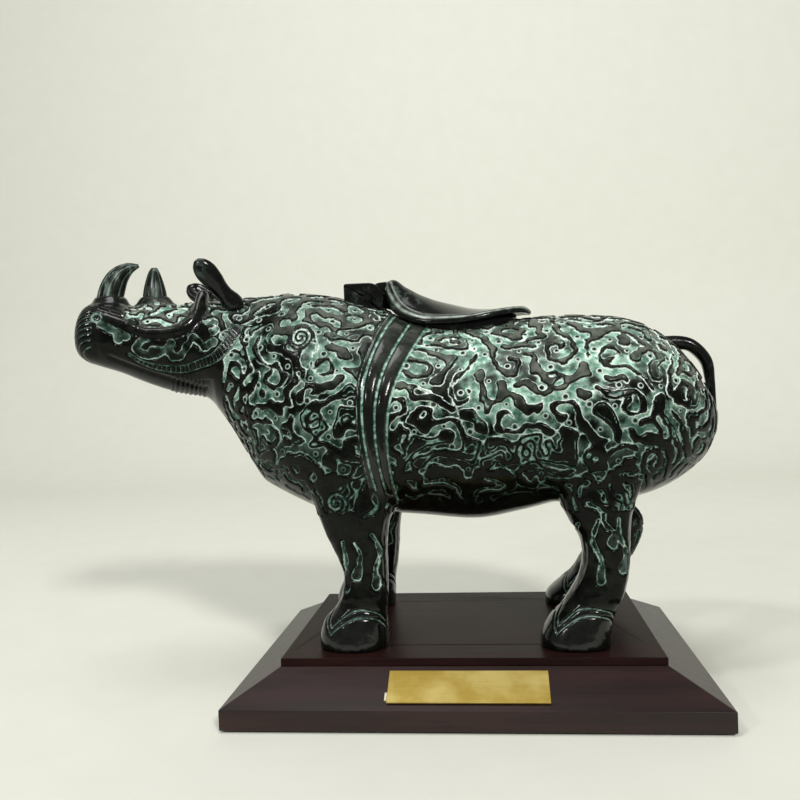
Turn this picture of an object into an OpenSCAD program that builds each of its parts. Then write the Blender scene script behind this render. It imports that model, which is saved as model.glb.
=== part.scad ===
// Rhinoceros-shaped bronze wine vessel with a hinged saddle lid, on a wooden display base.
// Millimetres. Origin at the middle of the base's underside, +Z up, the animal faces -X.

/* [Bronze body] */
// Length of the hollow body, from the neck joint to the back of the rump
body_len = 248.5; // [240:0.5:260]
// Greatest width of the body, across the haunches
body_w = 124; // [118:1:132]
// Height of the body, from the lowest point of the belly to the top of the shoulder
body_h = 130; // [126:1:136]
// Height of the belly above the top of the base
belly_clear = 59.5; // [54:0.5:66]
// Wall of the hollow body
wall = 6; // [5:0.5:7]
// Height of the two girth ribs above the skin
rib_h = 1.3; // [0.8:0.1:2]
// Width of one girth rib where it crosses the back
rib_w = 8.2; // [7:0.1:9]

/* [Head] */
// Length of the neck and head, along the curve of the neck
head_len = 106.5; // [102:0.5:112]
// Turn of the head to the animal's left, in degrees
head_turn = 22; // [8:1:26]
// Height of the curved horn on the nose
nose_horn_h = 20; // [16:0.5:25]
// Height of the straight horn on the brow
brow_horn_h = 16.5; // [13:0.5:20]
// Length of an ear
ear_len = 34; // [30:0.5:38]
// Diameter of an eye bead
eye_d = 5.2; // [4:0.2:6]

/* [Legs] */
// Distance of the hoof centres from the middle plane
hoof_y = 43; // [41:0.5:45]
// Forward step of the right front hoof
front_step = 6; // [0:0.5:10]
// Backward step of the right rear hoof
rear_step = 8; // [0:0.5:10]
// Length of a hoof
hoof_len = 36; // [33:0.5:38]

/* [Lid and hinge] */
// Length of the saddle-shaped lid
lid_len = 82; // [78:0.5:84]
// Width of the lid
lid_w = 54; // [50:0.5:58]
// Thickness of the lid at its rim
lid_t = 3.5; // [3:0.1:4]
// Rise of the pommel above the middle of the lid
pommel_h = 19; // [16:0.5:20]
// Length of the mouth in the back, inside the collar
mouth_len = 58; // [50:0.5:60]
// Width of the mouth, inside the collar
mouth_w = 34; // [28:0.5:36]
// Diameter of the hinge pin
pin_d = 4; // [3:0.1:4.6]
// Width of the hinge bracket
bracket_w = 20; // [18:0.5:22]

/* [Wooden base] */
// Length of the base
base_len = 240; // [232:1:256]
// Depth of the base
base_dep = 184; // [178:1:196]
// Height of the upright edge
base_edge = 11; // [9:0.5:15]
// Rise of the bevel
bevel_rise = 13; // [11:0.5:16]
// Width of the bevel in plan
bevel_run = 25; // [22:0.5:27]
// Thickness of the slab on the top
slab_t = 4; // [3:0.5:6]

/* [Plaque] */
// Length of the brass plate
plaque_len = 77; // [60:1:90]
// Height of the brass plate, along the bevel
plaque_h = 20; // [14:0.5:21]
// Thickness of the brass plate
plaque_t = 0.8; // [0.6:0.1:1.2]

/* [Fasteners] */
// Diameter of the four screws that hold the hooves
screw_d = 4; // [3:0.5:5]

/* [Hidden] */
bronze = "#2f3a33";
dark_bronze = "#232a26";
lacquer = "#3a1f1b";
brass_tone = "#c9a24a";
steel_tone = "#9a9a98";
bare_wood_tone = "#6b4a35";
felt_tone = "#1f2a22";
tape_tone = "#d8d2bf";
eye_tone = "#101010";

// Facets round a section of each casting
body_facets = 32;
cavity_facets = 20;
head_facets = 26;
limb_facets = 18;
horn_facets = 21;
small_facets = 12;
pocket_facets = 16;
round_facets = 24;
bulge_facets = 14;
bead_facets = 8;

// Fits between the castings
braze_gap = 0.15;
let_in_gap = 0.25;
pin_gap = 0.04;
swing_gap = 0.3;
seat_gap = 0.8;

// Heights
slab_z = base_edge + bevel_rise;
stand_z = slab_z + slab_t;
belly_z = stand_z + belly_clear;
body_mid_x = 12.25;
neck_x = body_mid_x - body_len / 2;
function along(percent) = neck_x + percent / 100 * body_len;
function height(percent) = belly_z + percent / 100 * body_h;
front_leg_x = along(21.5);
rear_leg_x = along(72);
left = -1;
right = 1;
big = 400;

// The tables below are drawn for these sizes and follow them
width_scale = body_w / 124;
head_scale = head_len / 106.5;
leg_scale = hoof_len / 36;
ear_scale = ear_len / 34;
tail_scale = body_h / 130;

// Splines through rows of numbers
function row(table, i) = table[max(0, min(len(table) - 1, i))];
function last(table) = table[len(table) - 1];
function curve(a, b, c, d, t) =
    0.5 * (2 * b + (c - a) * t + (2 * a - 5 * b + 4 * c - d) * t * t + (3 * b - a - 3 * c + d) * t * t * t);
function smooth(table, steps) = [
    for (i = [0:len(table) - 2])
        for (k = [0:steps - 1])
            curve(row(table, i - 1), row(table, i), row(table, i + 1), row(table, i + 2), k / steps),
    last(table)
];
function segment(table, x, i = 0) =
    i >= len(table) - 2 || x < table[i + 1][0] ? i : segment(table, x, i + 1);
function between(table, x) =
    let (i = segment(table, x), t = (x - table[i][0]) / (table[i + 1][0] - table[i][0]))
    curve(row(table, i - 1), row(table, i), row(table, i + 1), row(table, i + 2), max(0, min(1, t)));

// Unit outline of a rounded section: power 2 is an ellipse, higher powers are boxier
function reach(a, power) = 1 / pow(pow(abs(cos(a)), power) + pow(abs(sin(a)), power), 1 / power);

// A closed skin over rings of points, with flat ends: the rings turn right-handed about their way
module loft(rings) {
    n = len(rings[0]);
    last = (len(rings) - 1) * n;
    sides = [
        for (j = [0:len(rings) - 2])
            for (i = [0:n - 1])
                let (a = j * n + i, b = j * n + (i + 1) % n)
                each [[a, b + n, b], [a, a + n, b + n]]
    ];
    start = [for (i = [0:n - 1]) i];
    end = [for (i = [0:n - 1]) last + n - 1 - i];
    polyhedron([for (r = rings) each r], concat(sides, [start], [end]));
}

// A closed ring swept through sections, the last section joined to the first
module hoop(sections) {
    n = len(sections[0]);
    m = len(sections);
    sides = [
        for (j = [0:m - 1])
            for (i = [0:n - 1])
                let (a = j * n + i, b = j * n + (i + 1) % n, next = (j + 1) % m * n)
                each [[a, b, next + (i + 1) % n], [a, next + (i + 1) % n, next + i]]
    ];
    polyhedron([for (s = sections) each s], sides);
}

// Body sections: place along the body, top, bottom and width in percent, power of the lower half
body_table = [
    [0, 98.8, 16.5, 68, 2.2],
    [4.8, 99.6, 12.4, 79, 2.5],
    [10.5, 98.8, 8.4, 88, 3.2],
    [16, 97, 5.4, 93, 4],
    [21.7, 93.8, 5, 95, 4],
    [27, 91, 4.6, 95.5, 3.2],
    [35, 85.8, 2.2, 95, 2.3],
    [47, 83.6, 0, 97, 2.1],
    [57, 84.2, 3.6, 98.5, 2.4],
    [65.2, 85, 8.4, 100, 3.4],
    [72.4, 84.6, 9, 100, 4],
    [79.7, 83, 9.2, 96, 3.6],
    [86, 78.6, 11.6, 85.5, 2.8],
    [91.7, 69.5, 16.5, 69, 2.3],
    [95.8, 59.4, 23, 50, 2.1],
    [98.4, 49, 31.4, 29, 2],
    [99.4, 44, 36.4, 12, 2]
];
back_power = 1.8;
body_rows = [
    for (r = body_table) [along(r[0]), height(r[1]), height(r[2]), r[3] / 200 * body_w, r[4]]
];
function body_point(r, a, out = 0) =
    let (k = reach(a, a > 180 ? r[4] : back_power), mid = (r[1] + r[2]) / 2, half = (r[1] - r[2]) / 2)
    [r[0], ((r[3] * k + out) * cos(a)), mid + (half * k + out) * sin(a)];
function body_ring(r, facets) = [for (i = [0:facets - 1]) body_point(r, 360 * i / facets)];

// Wine space: the body's own rows drawn in by the wall, its floor lifted over the leg sockets
leg_joint_z = height(19);
cavity_power = 2.2;
cavity_from = along(4);
cavity_to = along(96);
thin_from = along(25);
thin_to = along(82);
socket_reach = 30 * leg_scale;
function over_legs(x) =
    abs(x - front_leg_x) < socket_reach || abs(x - rear_leg_x) < socket_reach ? leg_joint_z + wall : belly_z;
function ceiling(x) = x > thin_from && x < thin_to ? wall : 2 * wall;
cavity_rows = [
    for (r = body_rows)
        if (r[0] > cavity_from && r[0] < cavity_to)
            [r[0], r[1] - ceiling(r[0]), max(r[2] + wall, over_legs(r[0])), r[3] - wall, cavity_power]
];

// Girth ribs: place, bow towards the head, lean with the belly, share of the width left under the belly,
// groove between the two and section
girth_x = along(31);
girth_bow = 11;
girth_lean = 8;
rib_belly_share = 0.25;
rib_gap = 1.4;
rib_section = [[-1, -1], [-0.8, 0.6], [-0.4, 1], [0.4, 1], [0.8, 0.6], [1, -1]];
function rib_width(q) = rib_w * (rib_belly_share + (1 - rib_belly_share) * q);
// The ribs run out towards the crest of the back, under the lid
rib_fade = 0.07;
function rib_height(q) = rib_h * max(0.15, min(1, (1 - q) / rib_fade));

// Muscles over the legs: shift along X, set-in from the side, height of the upper end in percent
front_muscle = [-2, 19.8, 40];
rear_muscle = [4, 16.6, 42];
muscle_low = 19;
muscle_top_r = 17 * leg_scale;
muscle_low_r = 15 * leg_scale;

// Legs: height in percent of the leg, centre and half length along X, half width across
leg_h = leg_joint_z - stand_z;
leg_top_y = hoof_y - 2;
leg_power = 2.4;
front_leg_table = [
    [0, -2, 17.2, 16.6],
    [1, -2, 18, 17.4],
    [8, -2, 17.8, 17],
    [17, -1, 16.2, 15.8],
    [24, 2, 13.6, 13.4],
    [32, 4, 12.2, 12],
    [44, 5, 11.6, 11.6],
    [57, 3, 13.4, 12.6],
    [72, 0.5, 17, 14],
    [84, 0, 19.6, 14.8],
    [100, 0, 20, 15]
];
rear_left_leg_table = [
    [0, -13.5, 17.2, 16.6],
    [1, -13.5, 18, 17.4],
    [8, -13, 17.6, 17],
    [17, -10, 16, 15.4],
    [23, -6.2, 14.8, 13.6],
    [31, -2, 13.8, 12.4],
    [43, 1.8, 12.4, 12.2],
    [55, 3.2, 12, 12.6],
    [66, 2.6, 13, 13.6],
    [80, 0, 17, 15.2],
    [100, 0.5, 20, 15.4]
];
// The right rear leg steps forward from a hock that stands further back
rear_right_leg_table = [
    [0, -13.5, 17.2, 16.6],
    [1, -13.5, 18, 17.4],
    [8, -12, 17.6, 17],
    [17, -4, 16.4, 15.4],
    [23, 1.5, 15.4, 13.6],
    [31, 7, 15, 12.4],
    [43, 13.4, 15.2, 12.2],
    [55, 17, 15.8, 12.6],
    [66, 14.6, 16.4, 13.6],
    [80, 2, 17, 15.2],
    [100, 0.5, 20, 15.4]
];
socket_percent = 80;
function leg_row(r, step) =
    let (risen = min(1, r[0] / socket_percent))
    [stand_z + r[0] / 100 * leg_h,
     leg_scale * r[1] + step * (1 - risen),
     hoof_y + (leg_top_y - hoof_y) * risen,
     leg_scale * r[2], leg_scale * r[3]];
function leg_ring(r, x, side, out = 0) = [
    for (i = [0:limb_facets - 1])
        let (a = 360 * i / limb_facets, k = reach(a, leg_power))
        [x + r[1] + (r[3] + out) * k * cos(a), side * r[2] + (r[4] + out) * k * sin(a), r[0]]
];
function hoof_centre(x, table, side, step) = [x + leg_scale * table[0][1] + step, side * hoof_y];
screw_spots = [
    hoof_centre(front_leg_x, front_leg_table, left, 0),
    hoof_centre(front_leg_x, front_leg_table, right, -front_step),
    hoof_centre(rear_leg_x, rear_left_leg_table, left, 0),
    hoof_centre(rear_leg_x, rear_right_leg_table, right, rear_step)
];

// Neck and head: distance along the neck in percent, top, bottom and half width, powers of both halves
head_table = [
    [0, 98.8, 16.5, 42, 1.8, 2.2],
    [11, 98.6, 29.5, 37, 1.8, 2.1],
    [22, 97.8, 44, 33, 1.9, 2],
    [33, 98, 55, 30, 2, 1.9],
    [43, 96.8, 57.4, 28, 2.3, 1.7],
    [54, 96, 59.4, 26, 2.5, 1.7],
    [66, 95.8, 63.2, 23.5, 2.5, 1.8],
    [77, 96, 67.3, 21.5, 2.5, 1.9],
    [87, 97.4, 70.2, 19.6, 2.6, 2.1],
    [94, 96, 72.4, 17.4, 2.7, 2.3],
    [98, 91.6, 75, 13.8, 2.6, 2.3],
    [100, 86, 78.4, 8, 2.2, 2]
];
bend_len = 50;
bend_r = bend_len / (head_turn * PI / 180);
function head_yaw(u) = min(max(u, 0), bend_len) / bend_r * 180 / PI;
function head_point(u, v, z) =
    let (a = head_yaw(u), past = max(u - bend_len, 0))
    [neck_x - (u < 0 ? u : 0) - bend_r * sin(a) - past * cos(a) - v * sin(a),
     -bend_r * (1 - cos(a)) - past * sin(a) + v * cos(a), z];
head_rows = [
    for (r = head_table)
        [r[0] / 100 * head_len, height(r[1]), height(r[2]), width_scale * r[3], r[4], r[5]]
];
function head_ring(r) = [
    for (i = [0:head_facets - 1])
        let (a = 360 * (1 - i / head_facets), k = reach(a, a > 180 ? r[5] : r[4]),
             mid = (r[1] + r[2]) / 2, half = (r[1] - r[2]) / 2)
        head_point(r[0], r[3] * k * cos(a), mid + half * k * sin(a))
];
module on_head(u, v, z) {
    translate(head_point(u, v, z)) rotate([0, 0, head_yaw(u)]) children();
}

// Horns, ears and eyes on the head
nose_horn_u = 87 * head_scale;
brow_horn_u = 63 * head_scale;
horn_base_z = height(100);
boss_root_z = height(91);
nose_horn_r = 7.4;
brow_horn_r = 6.8;
// Half length and half width of the bosses at their roots
nose_boss = [11.5, 14];
brow_boss = [12.5, 16];
boss_steps = 3;
boss_rim = 1;
horn_peg_r = 3.6;
horn_peg_h = 6;
flutes = 7;
flute_depth = 0.07;
// Seats of the ears: distance along the neck and from the middle plane, height in percent, lean outward, pitch
// forward. Both stand square to the turned face, so the right one sits further along the neck
left_ear_seat = [16, 15, 94.4, 25, 34];
right_ear_seat = [24, 18, 93, 30, 49];
ear_peg_h = 5;
eye_u = 75 * head_scale;
eye_v = 21 * width_scale;
eye_z = height(88);
nostril_u = 94 * head_scale;
nostril_v = 18 * width_scale;
nostril_z = height(90.2);
nostril_r = 2.2;
spigot_r = 20;
spigot_h = 8;
spigot_z = height(68);
// Brow ridge from the nostril to the ear: distance along the neck, distance from the middle plane, height in
// percent, radius
brow_table = [
    [95, 15.4, 92.3, 1.9], [82, 20, 88.2, 2.5], [69, 23, 83.6, 2.4], [54, 25.2, 84, 3], [42, 22.8, 88.8, 4.1],
    [36, 12.5, 99.6, 3.6]
];
brow_rows = smooth(brow_table, 2);

// Tail: place along X and height from the root, half thickness and half width
tail_root = [along(88.93), height(71.8)];
tail_table = [
    [0, 0, 4.4, 4.4],
    [8, 0, 4.4, 4.4],
    [14.5, -1.4, 4, 4.8],
    [20, -6, 3.7, 5],
    [23.6, -12, 3.4, 4.6],
    [24.9, -21, 2.8, 3.6],
    [26.2, -34, 1.9, 2.4],
    [27.6, -45, 0.8, 0.9]
];

// Hinge: bracket with two cheeks, the lid's tongue between them
hinge = [along(24.15), height(95.8)];
cheek_r = 8.5;
cheek_t = 5.6;
bracket_back = hinge[0] - 13.5;
bracket_floor_z = hinge[1] - cheek_r;
web_t = 1.4;
knuckle_r = 6;
tongue_w = bracket_w - 2 * cheek_t - 2 * swing_gap;
pin_proud = 1;

// Lid: height of its crest, of its underside's crest and of its rim, in percent from front to rear
lid_front_x = hinge[0] + cheek_r;
lid_mid_x = lid_front_x + lid_len / 2;
lid_datum = height(89.3);
lid_table = [
    [0, 90, 36, 42],
    [7, 100, 32, 5],
    [14, 78, 29, -16],
    [24, 53, 25, -28],
    [35, 33, 22, -33],
    [48, 17, 17, -32],
    [60, 4, 12, -27],
    [72, 0, 9, -17],
    [84, 2, 8, -8],
    [94, 2, 6, -5],
    [100, -5, -6, -11]
];
lid_steps = 36;
lid_min_t = 1.5;
function lid_row(x) = between(lid_table, 100 * (x - lid_front_x) / lid_len);
function lid_edge(along_x) = sqrt(1 - along_x * along_x + 0.05);
function lid_fall(fx, fy) = min(1, pow(abs(fy) / lid_edge(fx), 1.7));
function lid_top(fx, fy) =
    let (r = lid_row(lid_mid_x + fx * lid_len / 2), f = lid_fall(fx, fy))
    lid_datum + pommel_h / 100 * (r[1] + (r[3] - r[1]) * f);
function lid_under(fx, fy) =
    let (r = lid_row(lid_mid_x + fx * lid_len / 2), f = lid_fall(fx, fy))
    min(lid_datum - lid_t + pommel_h / 100 * (r[2] + (r[3] - r[2]) * f), lid_top(fx, fy) - lid_min_t);
function lid_point(k, a, side) =
    let (fx = k * cos(a), fy = k * sin(a), top = lid_top(fx, fy), under = lid_under(fx, fy))
    [lid_mid_x + fx * lid_len / 2, fy * lid_w / 2, under + (top - under) * side];
// Radius and share of the thickness of every ring of the lid, from its top to its underside
lid_rings = [[0.04, 1], [0.25, 1], [0.5, 1], [0.72, 1], [0.9, 1], [0.97, 0.9], [1, 0.5], [0.98, 0.1],
             [0.88, 0], [0.66, 0], [0.4, 0], [0.04, 0]];

// Collar round the mouth
collar_t = 3.6;
collar_room = 2 * collar_t + 2 * braze_gap;
collar_floor_z = height(77.5);
collar_steps = 40;
mouth_x = lid_mid_x;
mouth_floor_z = height(50);
above_back = height(110);

// Base
felt_t = 1.2;
felt_in = 3;
board_t = 12;
board_gap = 0.4;
washer_r = screw_d / 2 + 3;
washer_room = 4;
screw_reach = max([for (p = screw_spots) abs(p[0])]);
rail_w = min(base_len / 2 - screw_reach, base_dep / 2 - hoof_y) - washer_r - washer_room;
opening_len = base_len - 2 * rail_w;
opening_dep = base_dep - 2 * rail_w;
slab_len = base_len - 2 * bevel_run;
slab_dep = base_dep - 2 * bevel_run;
rail_profile = [[0, felt_t], [0, base_edge], [bevel_run, slab_z], [rail_w, slab_z], [rail_w, felt_t]];
bevel_angle = atan2(bevel_rise, bevel_run);
bevel_slope = sqrt(bevel_rise * bevel_rise + bevel_run * bevel_run);
plaque_x = -1;
tape_t = 0.5;
tape_in = 2;
tape_tab = 2.4;

// Screws
screw_gap = 0.2;
screw_depth = 12;
washer_t = 1;
screw_head_r = screw_d * 0.9;
screw_head_h = screw_d * 0.65;
screw_slot_w = 1;
board_z = slab_z - board_t;
plate_t = 1;

// A flat outline given as points, drawn as a plate whose top is at the given height
module plate(points, z) {
    translate([0, 0, z - plate_t]) linear_extrude(plate_t) polygon(points);
}

module leg_socket(x, table, side) {
    ring = leg_ring(leg_row(last(table), 0), x, side, braze_gap);
    outline = [for (p = ring) [p[0], p[1]]];
    hull() {
        plate(outline, leg_joint_z + braze_gap);
        plate(outline, stand_z);
    }
}

module oval(len, w, z0, z1, x) {
    outline = [
        for (i = [0:collar_steps - 1])
            let (a = 360 * i / collar_steps)
            [x + len / 2 * cos(a), w / 2 * sin(a)]
    ];
    hull() {
        plate(outline, z0);
        plate(outline, z1);
    }
}

// One of the two girth ribs: a rounded hoop that bows towards the head and narrows under the belly
module girth_rib(side) {
    hoop([
        for (i = [0:body_facets - 1])
            let (a = 360 * i / body_facets, q = (1 + sin(a)) / 2, w = rib_width(q),
                 x = girth_x + side * (w + rib_gap) / 2 - girth_bow * sin(180 * q) + girth_lean * q * q)
            [for (d = rib_section)
                let (r = between(body_rows, x + d[0] * w / 2))
                body_point(r, a, d[1] * rib_height(q))]
    ]);
}

// The muscle over a leg, just proud of the skin
module muscle(x, side, form) {
    hull() {
        translate([x + form[0], side * (body_w / 2 - form[1]), height(form[2])])
            sphere(r = muscle_top_r, $fn = bulge_facets);
        translate([x + form[0], side * leg_top_y, height(muscle_low)])
            sphere(r = muscle_low_r, $fn = bulge_facets);
    }
}

module body_shell() {
    color(bronze) difference() {
        union() {
            loft([for (r = smooth(body_rows, 2)) body_ring(r, body_facets)]);
            for (side = [-1, 1]) girth_rib(side);
            for (side = [left, right]) {
                muscle(front_leg_x, side, front_muscle);
                muscle(rear_leg_x, side, rear_muscle);
            }
        }
        loft([for (r = cavity_rows) body_ring(r, cavity_facets)]);
        oval(mouth_len + collar_room, mouth_w + collar_room, mouth_floor_z, above_back, mouth_x);
        for (side = [left, right]) {
            leg_socket(front_leg_x, front_leg_table, side);
            leg_socket(rear_leg_x, rear_left_leg_table, side);
        }
        bracket_seat();
        tail_form(let_in_gap);
        translate([neck_x - 1, 0, spigot_z]) rotate([0, 90, 0])
            cylinder(h = spigot_h + 1 + braze_gap, r = spigot_r + braze_gap, $fn = round_facets);
    }
}

module bracket_seat() {
    half = bracket_w / 2 + braze_gap;
    translate([bracket_back - braze_gap, -half, bracket_floor_z])
        cube([hinge[0] + cheek_r - bracket_back + 2 * braze_gap, 2 * half, big]);
}

module ear_place(side, seat) {
    on_head(seat[0], side * seat[1] * width_scale, height(seat[2]))
        rotate([-side * seat[3], 0, 0]) rotate([0, -seat[4], 0]) children();
}

module head() {
    color(bronze) difference() {
        union() {
            loft([for (r = smooth(head_rows, 2)) head_ring(r)]);
            horn_boss(nose_horn_u, nose_boss, nose_horn_r + boss_rim);
            horn_boss(brow_horn_u, brow_boss, brow_horn_r + boss_rim);
            for (side = [left, right]) brow_ridge(side);
            translate([neck_x - 1, 0, spigot_z]) rotate([0, 90, 0])
                cylinder(h = spigot_h + 1, r = spigot_r, $fn = round_facets);
        }
        for (u = [nose_horn_u, brow_horn_u])
            on_head(u, 0, horn_base_z - horn_peg_h - braze_gap)
                cylinder(h = big, r = horn_peg_r + braze_gap, $fn = pocket_facets);
        ear_place(left, left_ear_seat) ear(let_in_gap);
        ear_place(right, right_ear_seat) ear(let_in_gap);
        for (side = [left, right]) {
            on_head(eye_u, side * eye_v, eye_z) sphere(d = eye_d + 2 * braze_gap, $fn = pocket_facets);
            on_head(nostril_u, side * nostril_v, nostril_z) sphere(r = nostril_r, $fn = small_facets);
        }
    }
}

// A rounded mound under a horn, broader across the head than along it
module horn_boss(u, low, top_r) {
    loft([
        for (k = [0:boss_steps])
            let (t = k / boss_steps, along_r = low[0] + (top_r - low[0]) * t * t,
                 across_r = low[1] + (top_r - low[1]) * t * t)
            [for (i = [0:pocket_facets - 1])
                let (a = -360 * i / pocket_facets, z = boss_root_z + (horn_base_z - boss_root_z) * t)
                head_point(u + along_r * cos(a), across_r * sin(a), z)]
    ]);
}

module brow_ridge(side) {
    for (i = [0:len(brow_rows) - 2])
        hull() {
            brow_bead(brow_rows[i], side);
            brow_bead(brow_rows[i + 1], side);
        }
}

module brow_bead(r, side) {
    on_head(r[0] * head_scale, side * r[1] * width_scale, height(r[2])) sphere(r = r[3], $fn = bead_facets);
}

module leg(x, table, side, step) {
    rows = [for (r = smooth(table, 2)) leg_row(r, step)];
    spot = hoof_centre(x, table, side, step);
    color(bronze) difference() {
        loft([for (r = rows) leg_ring(r, x, side)]);
        translate([spot[0], spot[1], stand_z - 1])
            cylinder(h = screw_depth + 1, d = screw_d + screw_gap, $fn = round_facets);
    }
}

module front_left_leg() { leg(front_leg_x, front_leg_table, left, 0); }
module front_right_leg() { leg(front_leg_x, front_leg_table, right, -front_step); }
module rear_left_leg() { leg(rear_leg_x, rear_left_leg_table, left, 0); }
module rear_right_leg() { leg(rear_leg_x, rear_right_leg_table, right, rear_step); }

// A fluted horn: rows of backward place and height in percent of the height, radius in percent, tilt
module horn(table, h, r) {
    rows = smooth(table, 2);
    loft([
        for (q = rows)
            [for (i = [0:horn_facets - 1])
                let (a = 360 * i / horn_facets, flute = flute_depth * (1 + cos(a * flutes)) / 2,
                     k = r * q[2] / 100 * (1 - flute), out = k * cos(a))
                [q[0] / 100 * h + out * cos(q[3]), k * sin(a), q[1] / 100 * h - out * sin(q[3])]]
    ]);
    translate([0, 0, -horn_peg_h]) cylinder(h = horn_peg_h + 2, r = horn_peg_r, $fn = round_facets);
}

nose_horn_table = [[0, 0, 100, 0], [9, 30, 93, 17], [26, 60, 76, 38], [53, 83, 45, 58], [79, 89.5, 13, 75]];
brow_horn_table = [[0, 0, 100, 0], [0, 30, 88, 0], [0, 60, 68, 0], [0, 85, 46, 0], [1, 100, 24, 0]];

module nose_horn() {
    color(dark_bronze) on_head(nose_horn_u, 0, horn_base_z) horn(nose_horn_table, nose_horn_h, nose_horn_r);
}

module brow_horn() {
    color(dark_bronze) on_head(brow_horn_u, 0, horn_base_z) horn(brow_horn_table, brow_horn_h, brow_horn_r);
}

// Ear: distance from its root in percent, half width and half thickness
ear_table = [[0, 4, 4], [6, 4, 4], [14, 6, 5.4], [24, 6, 5.2], [36, 4.8, 4.4], [48, 4.9, 4.2], [62, 6, 4.3],
             [80, 6.4, 4.1], [93, 4.6, 2.9], [100, 1.6, 1.1]];

module ear(grow = 0) {
    translate([0, 0, -ear_peg_h - grow])
        loft([
            for (r = smooth(ear_table, 2))
                [for (i = [0:small_facets - 1])
                    let (a = 360 * i / small_facets)
                    [(ear_scale * r[1] + grow) * cos(a), (ear_scale * r[2] + grow) * sin(a),
                     r[0] / 100 * (ear_len + ear_peg_h)]]
        ]);
}

module left_ear() {
    color(dark_bronze) ear_place(left, left_ear_seat) ear();
}

module right_ear() {
    color(dark_bronze) ear_place(right, right_ear_seat) ear();
}

module eye(side) {
    color(eye_tone) on_head(eye_u, side * eye_v, eye_z) sphere(d = eye_d, $fn = round_facets);
}

module left_eye() { eye(left); }
module right_eye() { eye(right); }

module tail_form(grow = 0) {
    rows = tail_scale * smooth(tail_table, 2);
    turn = [
        for (i = [0:len(rows) - 1])
            let (p = row(rows, i - 1), q = row(rows, i + 1)) i == 0 ? 0 : atan2(q[1] - p[1], q[0] - p[0])
    ];
    translate([tail_root[0] - grow, 0, tail_root[1]])
        loft([
            for (j = [0:len(rows) - 1])
                [for (i = [0:small_facets - 1])
                    let (a = 360 * i / small_facets, r = rows[j], across = (r[2] + grow) * sin(a))
                    [r[0] - across * sin(turn[j]), (r[3] + grow) * cos(a), r[1] + across * cos(turn[j])]]
        ]);
}

module tail() {
    color(dark_bronze) tail_form();
}

module mouth_collar() {
    color(bronze) hoop([
        for (i = [0:collar_steps - 1])
            let (a = 360 * i / collar_steps)
            [for (d = [[0, 0], [collar_t, 0], [collar_t, 1], [0, 1]])
                let (x = mouth_x + (mouth_len / 2 + d[0]) * cos(a), y = (mouth_w / 2 + d[0]) * sin(a),
                     fx = (x - lid_mid_x) / (lid_len / 2), fy = y / (lid_w / 2))
                [x, y, d[1] == 0 ? collar_floor_z : lid_under(fx, fy) - seat_gap]]
    ]);
}

// Side view of the lid's tongue: the knuckle round the pin and the neck up to the pommel
neck_back = 2;
neck_run = 5;
neck_drop = 4;
neck_rise = 3;
neck_sink = 1;
pommel_place = -0.88;
module tongue_profile() {
    translate(hinge) circle(r = knuckle_r, $fn = round_facets);
    polygon([
        [hinge[0] - neck_back, hinge[1] + knuckle_r * cos(asin(neck_back / knuckle_r)) - braze_gap],
        [hinge[0] + neck_run, hinge[1] + knuckle_r + neck_rise],
        [lid_front_x + neck_run, lid_top(pommel_place, 0) - neck_sink],
        [lid_front_x + knuckle_r + neck_back, lid_datum],
        [hinge[0] + neck_run, hinge[1] - neck_drop]
    ]);
}

module lid() {
    color(dark_bronze) difference() {
        union() {
            loft([
                for (k = lid_rings)
                    [for (i = [0:lid_steps - 1]) lid_point(k[0], -360 * i / lid_steps, k[1])]
            ]);
            translate([0, tongue_w / 2, 0]) rotate([90, 0, 0]) linear_extrude(tongue_w) tongue_profile();
        }
        pin_hole(pin_gap);
    }
}

module pin_hole(gap) {
    translate([hinge[0], bracket_w, hinge[1]]) rotate([90, 0, 0])
        cylinder(h = 2 * bracket_w, d = pin_d + 2 * gap, $fn = round_facets);
}

module hinge_bracket() {
    top = hinge[1] + cheek_r;
    color(dark_bronze) difference() {
        translate([0, bracket_w / 2, 0]) rotate([90, 0, 0]) linear_extrude(bracket_w) {
            translate(hinge) circle(r = cheek_r, $fn = round_facets);
            translate([bracket_back, bracket_floor_z])
                square([hinge[0] - bracket_back, top - bracket_floor_z]);
            translate([bracket_back, bracket_floor_z])
                square([hinge[0] + cheek_r - bracket_back, hinge[1] - bracket_floor_z]);
        }
        translate([bracket_back - 1, cheek_t - bracket_w / 2, bracket_floor_z + web_t])
            cube([big, bracket_w - 2 * cheek_t, big]);
        pin_hole(pin_gap / 2);
    }
}

module hinge_pin() {
    color(dark_bronze) translate([hinge[0], bracket_w / 2 + pin_proud, hinge[1]]) rotate([90, 0, 0])
        cylinder(h = bracket_w + 2 * pin_proud, d = pin_d, $fn = round_facets);
}

module rail(len) {
    difference() {
        rotate([90, 0, 90]) translate([0, 0, -len / 2]) linear_extrude(len) polygon(rail_profile);
        for (side = [left, right])
            translate([side * len / 2, 0, -1]) rotate([0, 0, side < 0 ? -45 : 45])
                translate([side < 0 ? -big : 0, -big / 2, 0]) cube([big, big, slab_z + 2]);
    }
}

module front_rail() { color(lacquer) translate([0, -base_dep / 2, 0]) rail(base_len); }
module back_rail() { color(lacquer) rotate([0, 0, 180]) translate([0, -base_dep / 2, 0]) rail(base_len); }
module left_rail() { color(lacquer) rotate([0, 0, -90]) translate([0, -base_len / 2, 0]) rail(base_dep); }
module right_rail() { color(lacquer) rotate([0, 0, 90]) translate([0, -base_len / 2, 0]) rail(base_dep); }

module screw_holes(d) {
    for (p = screw_spots) translate([p[0], p[1], -1]) cylinder(h = big, d = d, $fn = round_facets);
}

module top_slab() {
    color(lacquer) difference() {
        translate([0, 0, slab_z]) linear_extrude(slab_t) square([slab_len, slab_dep], center = true);
        screw_holes(screw_d + 2 * screw_gap);
    }
}

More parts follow.
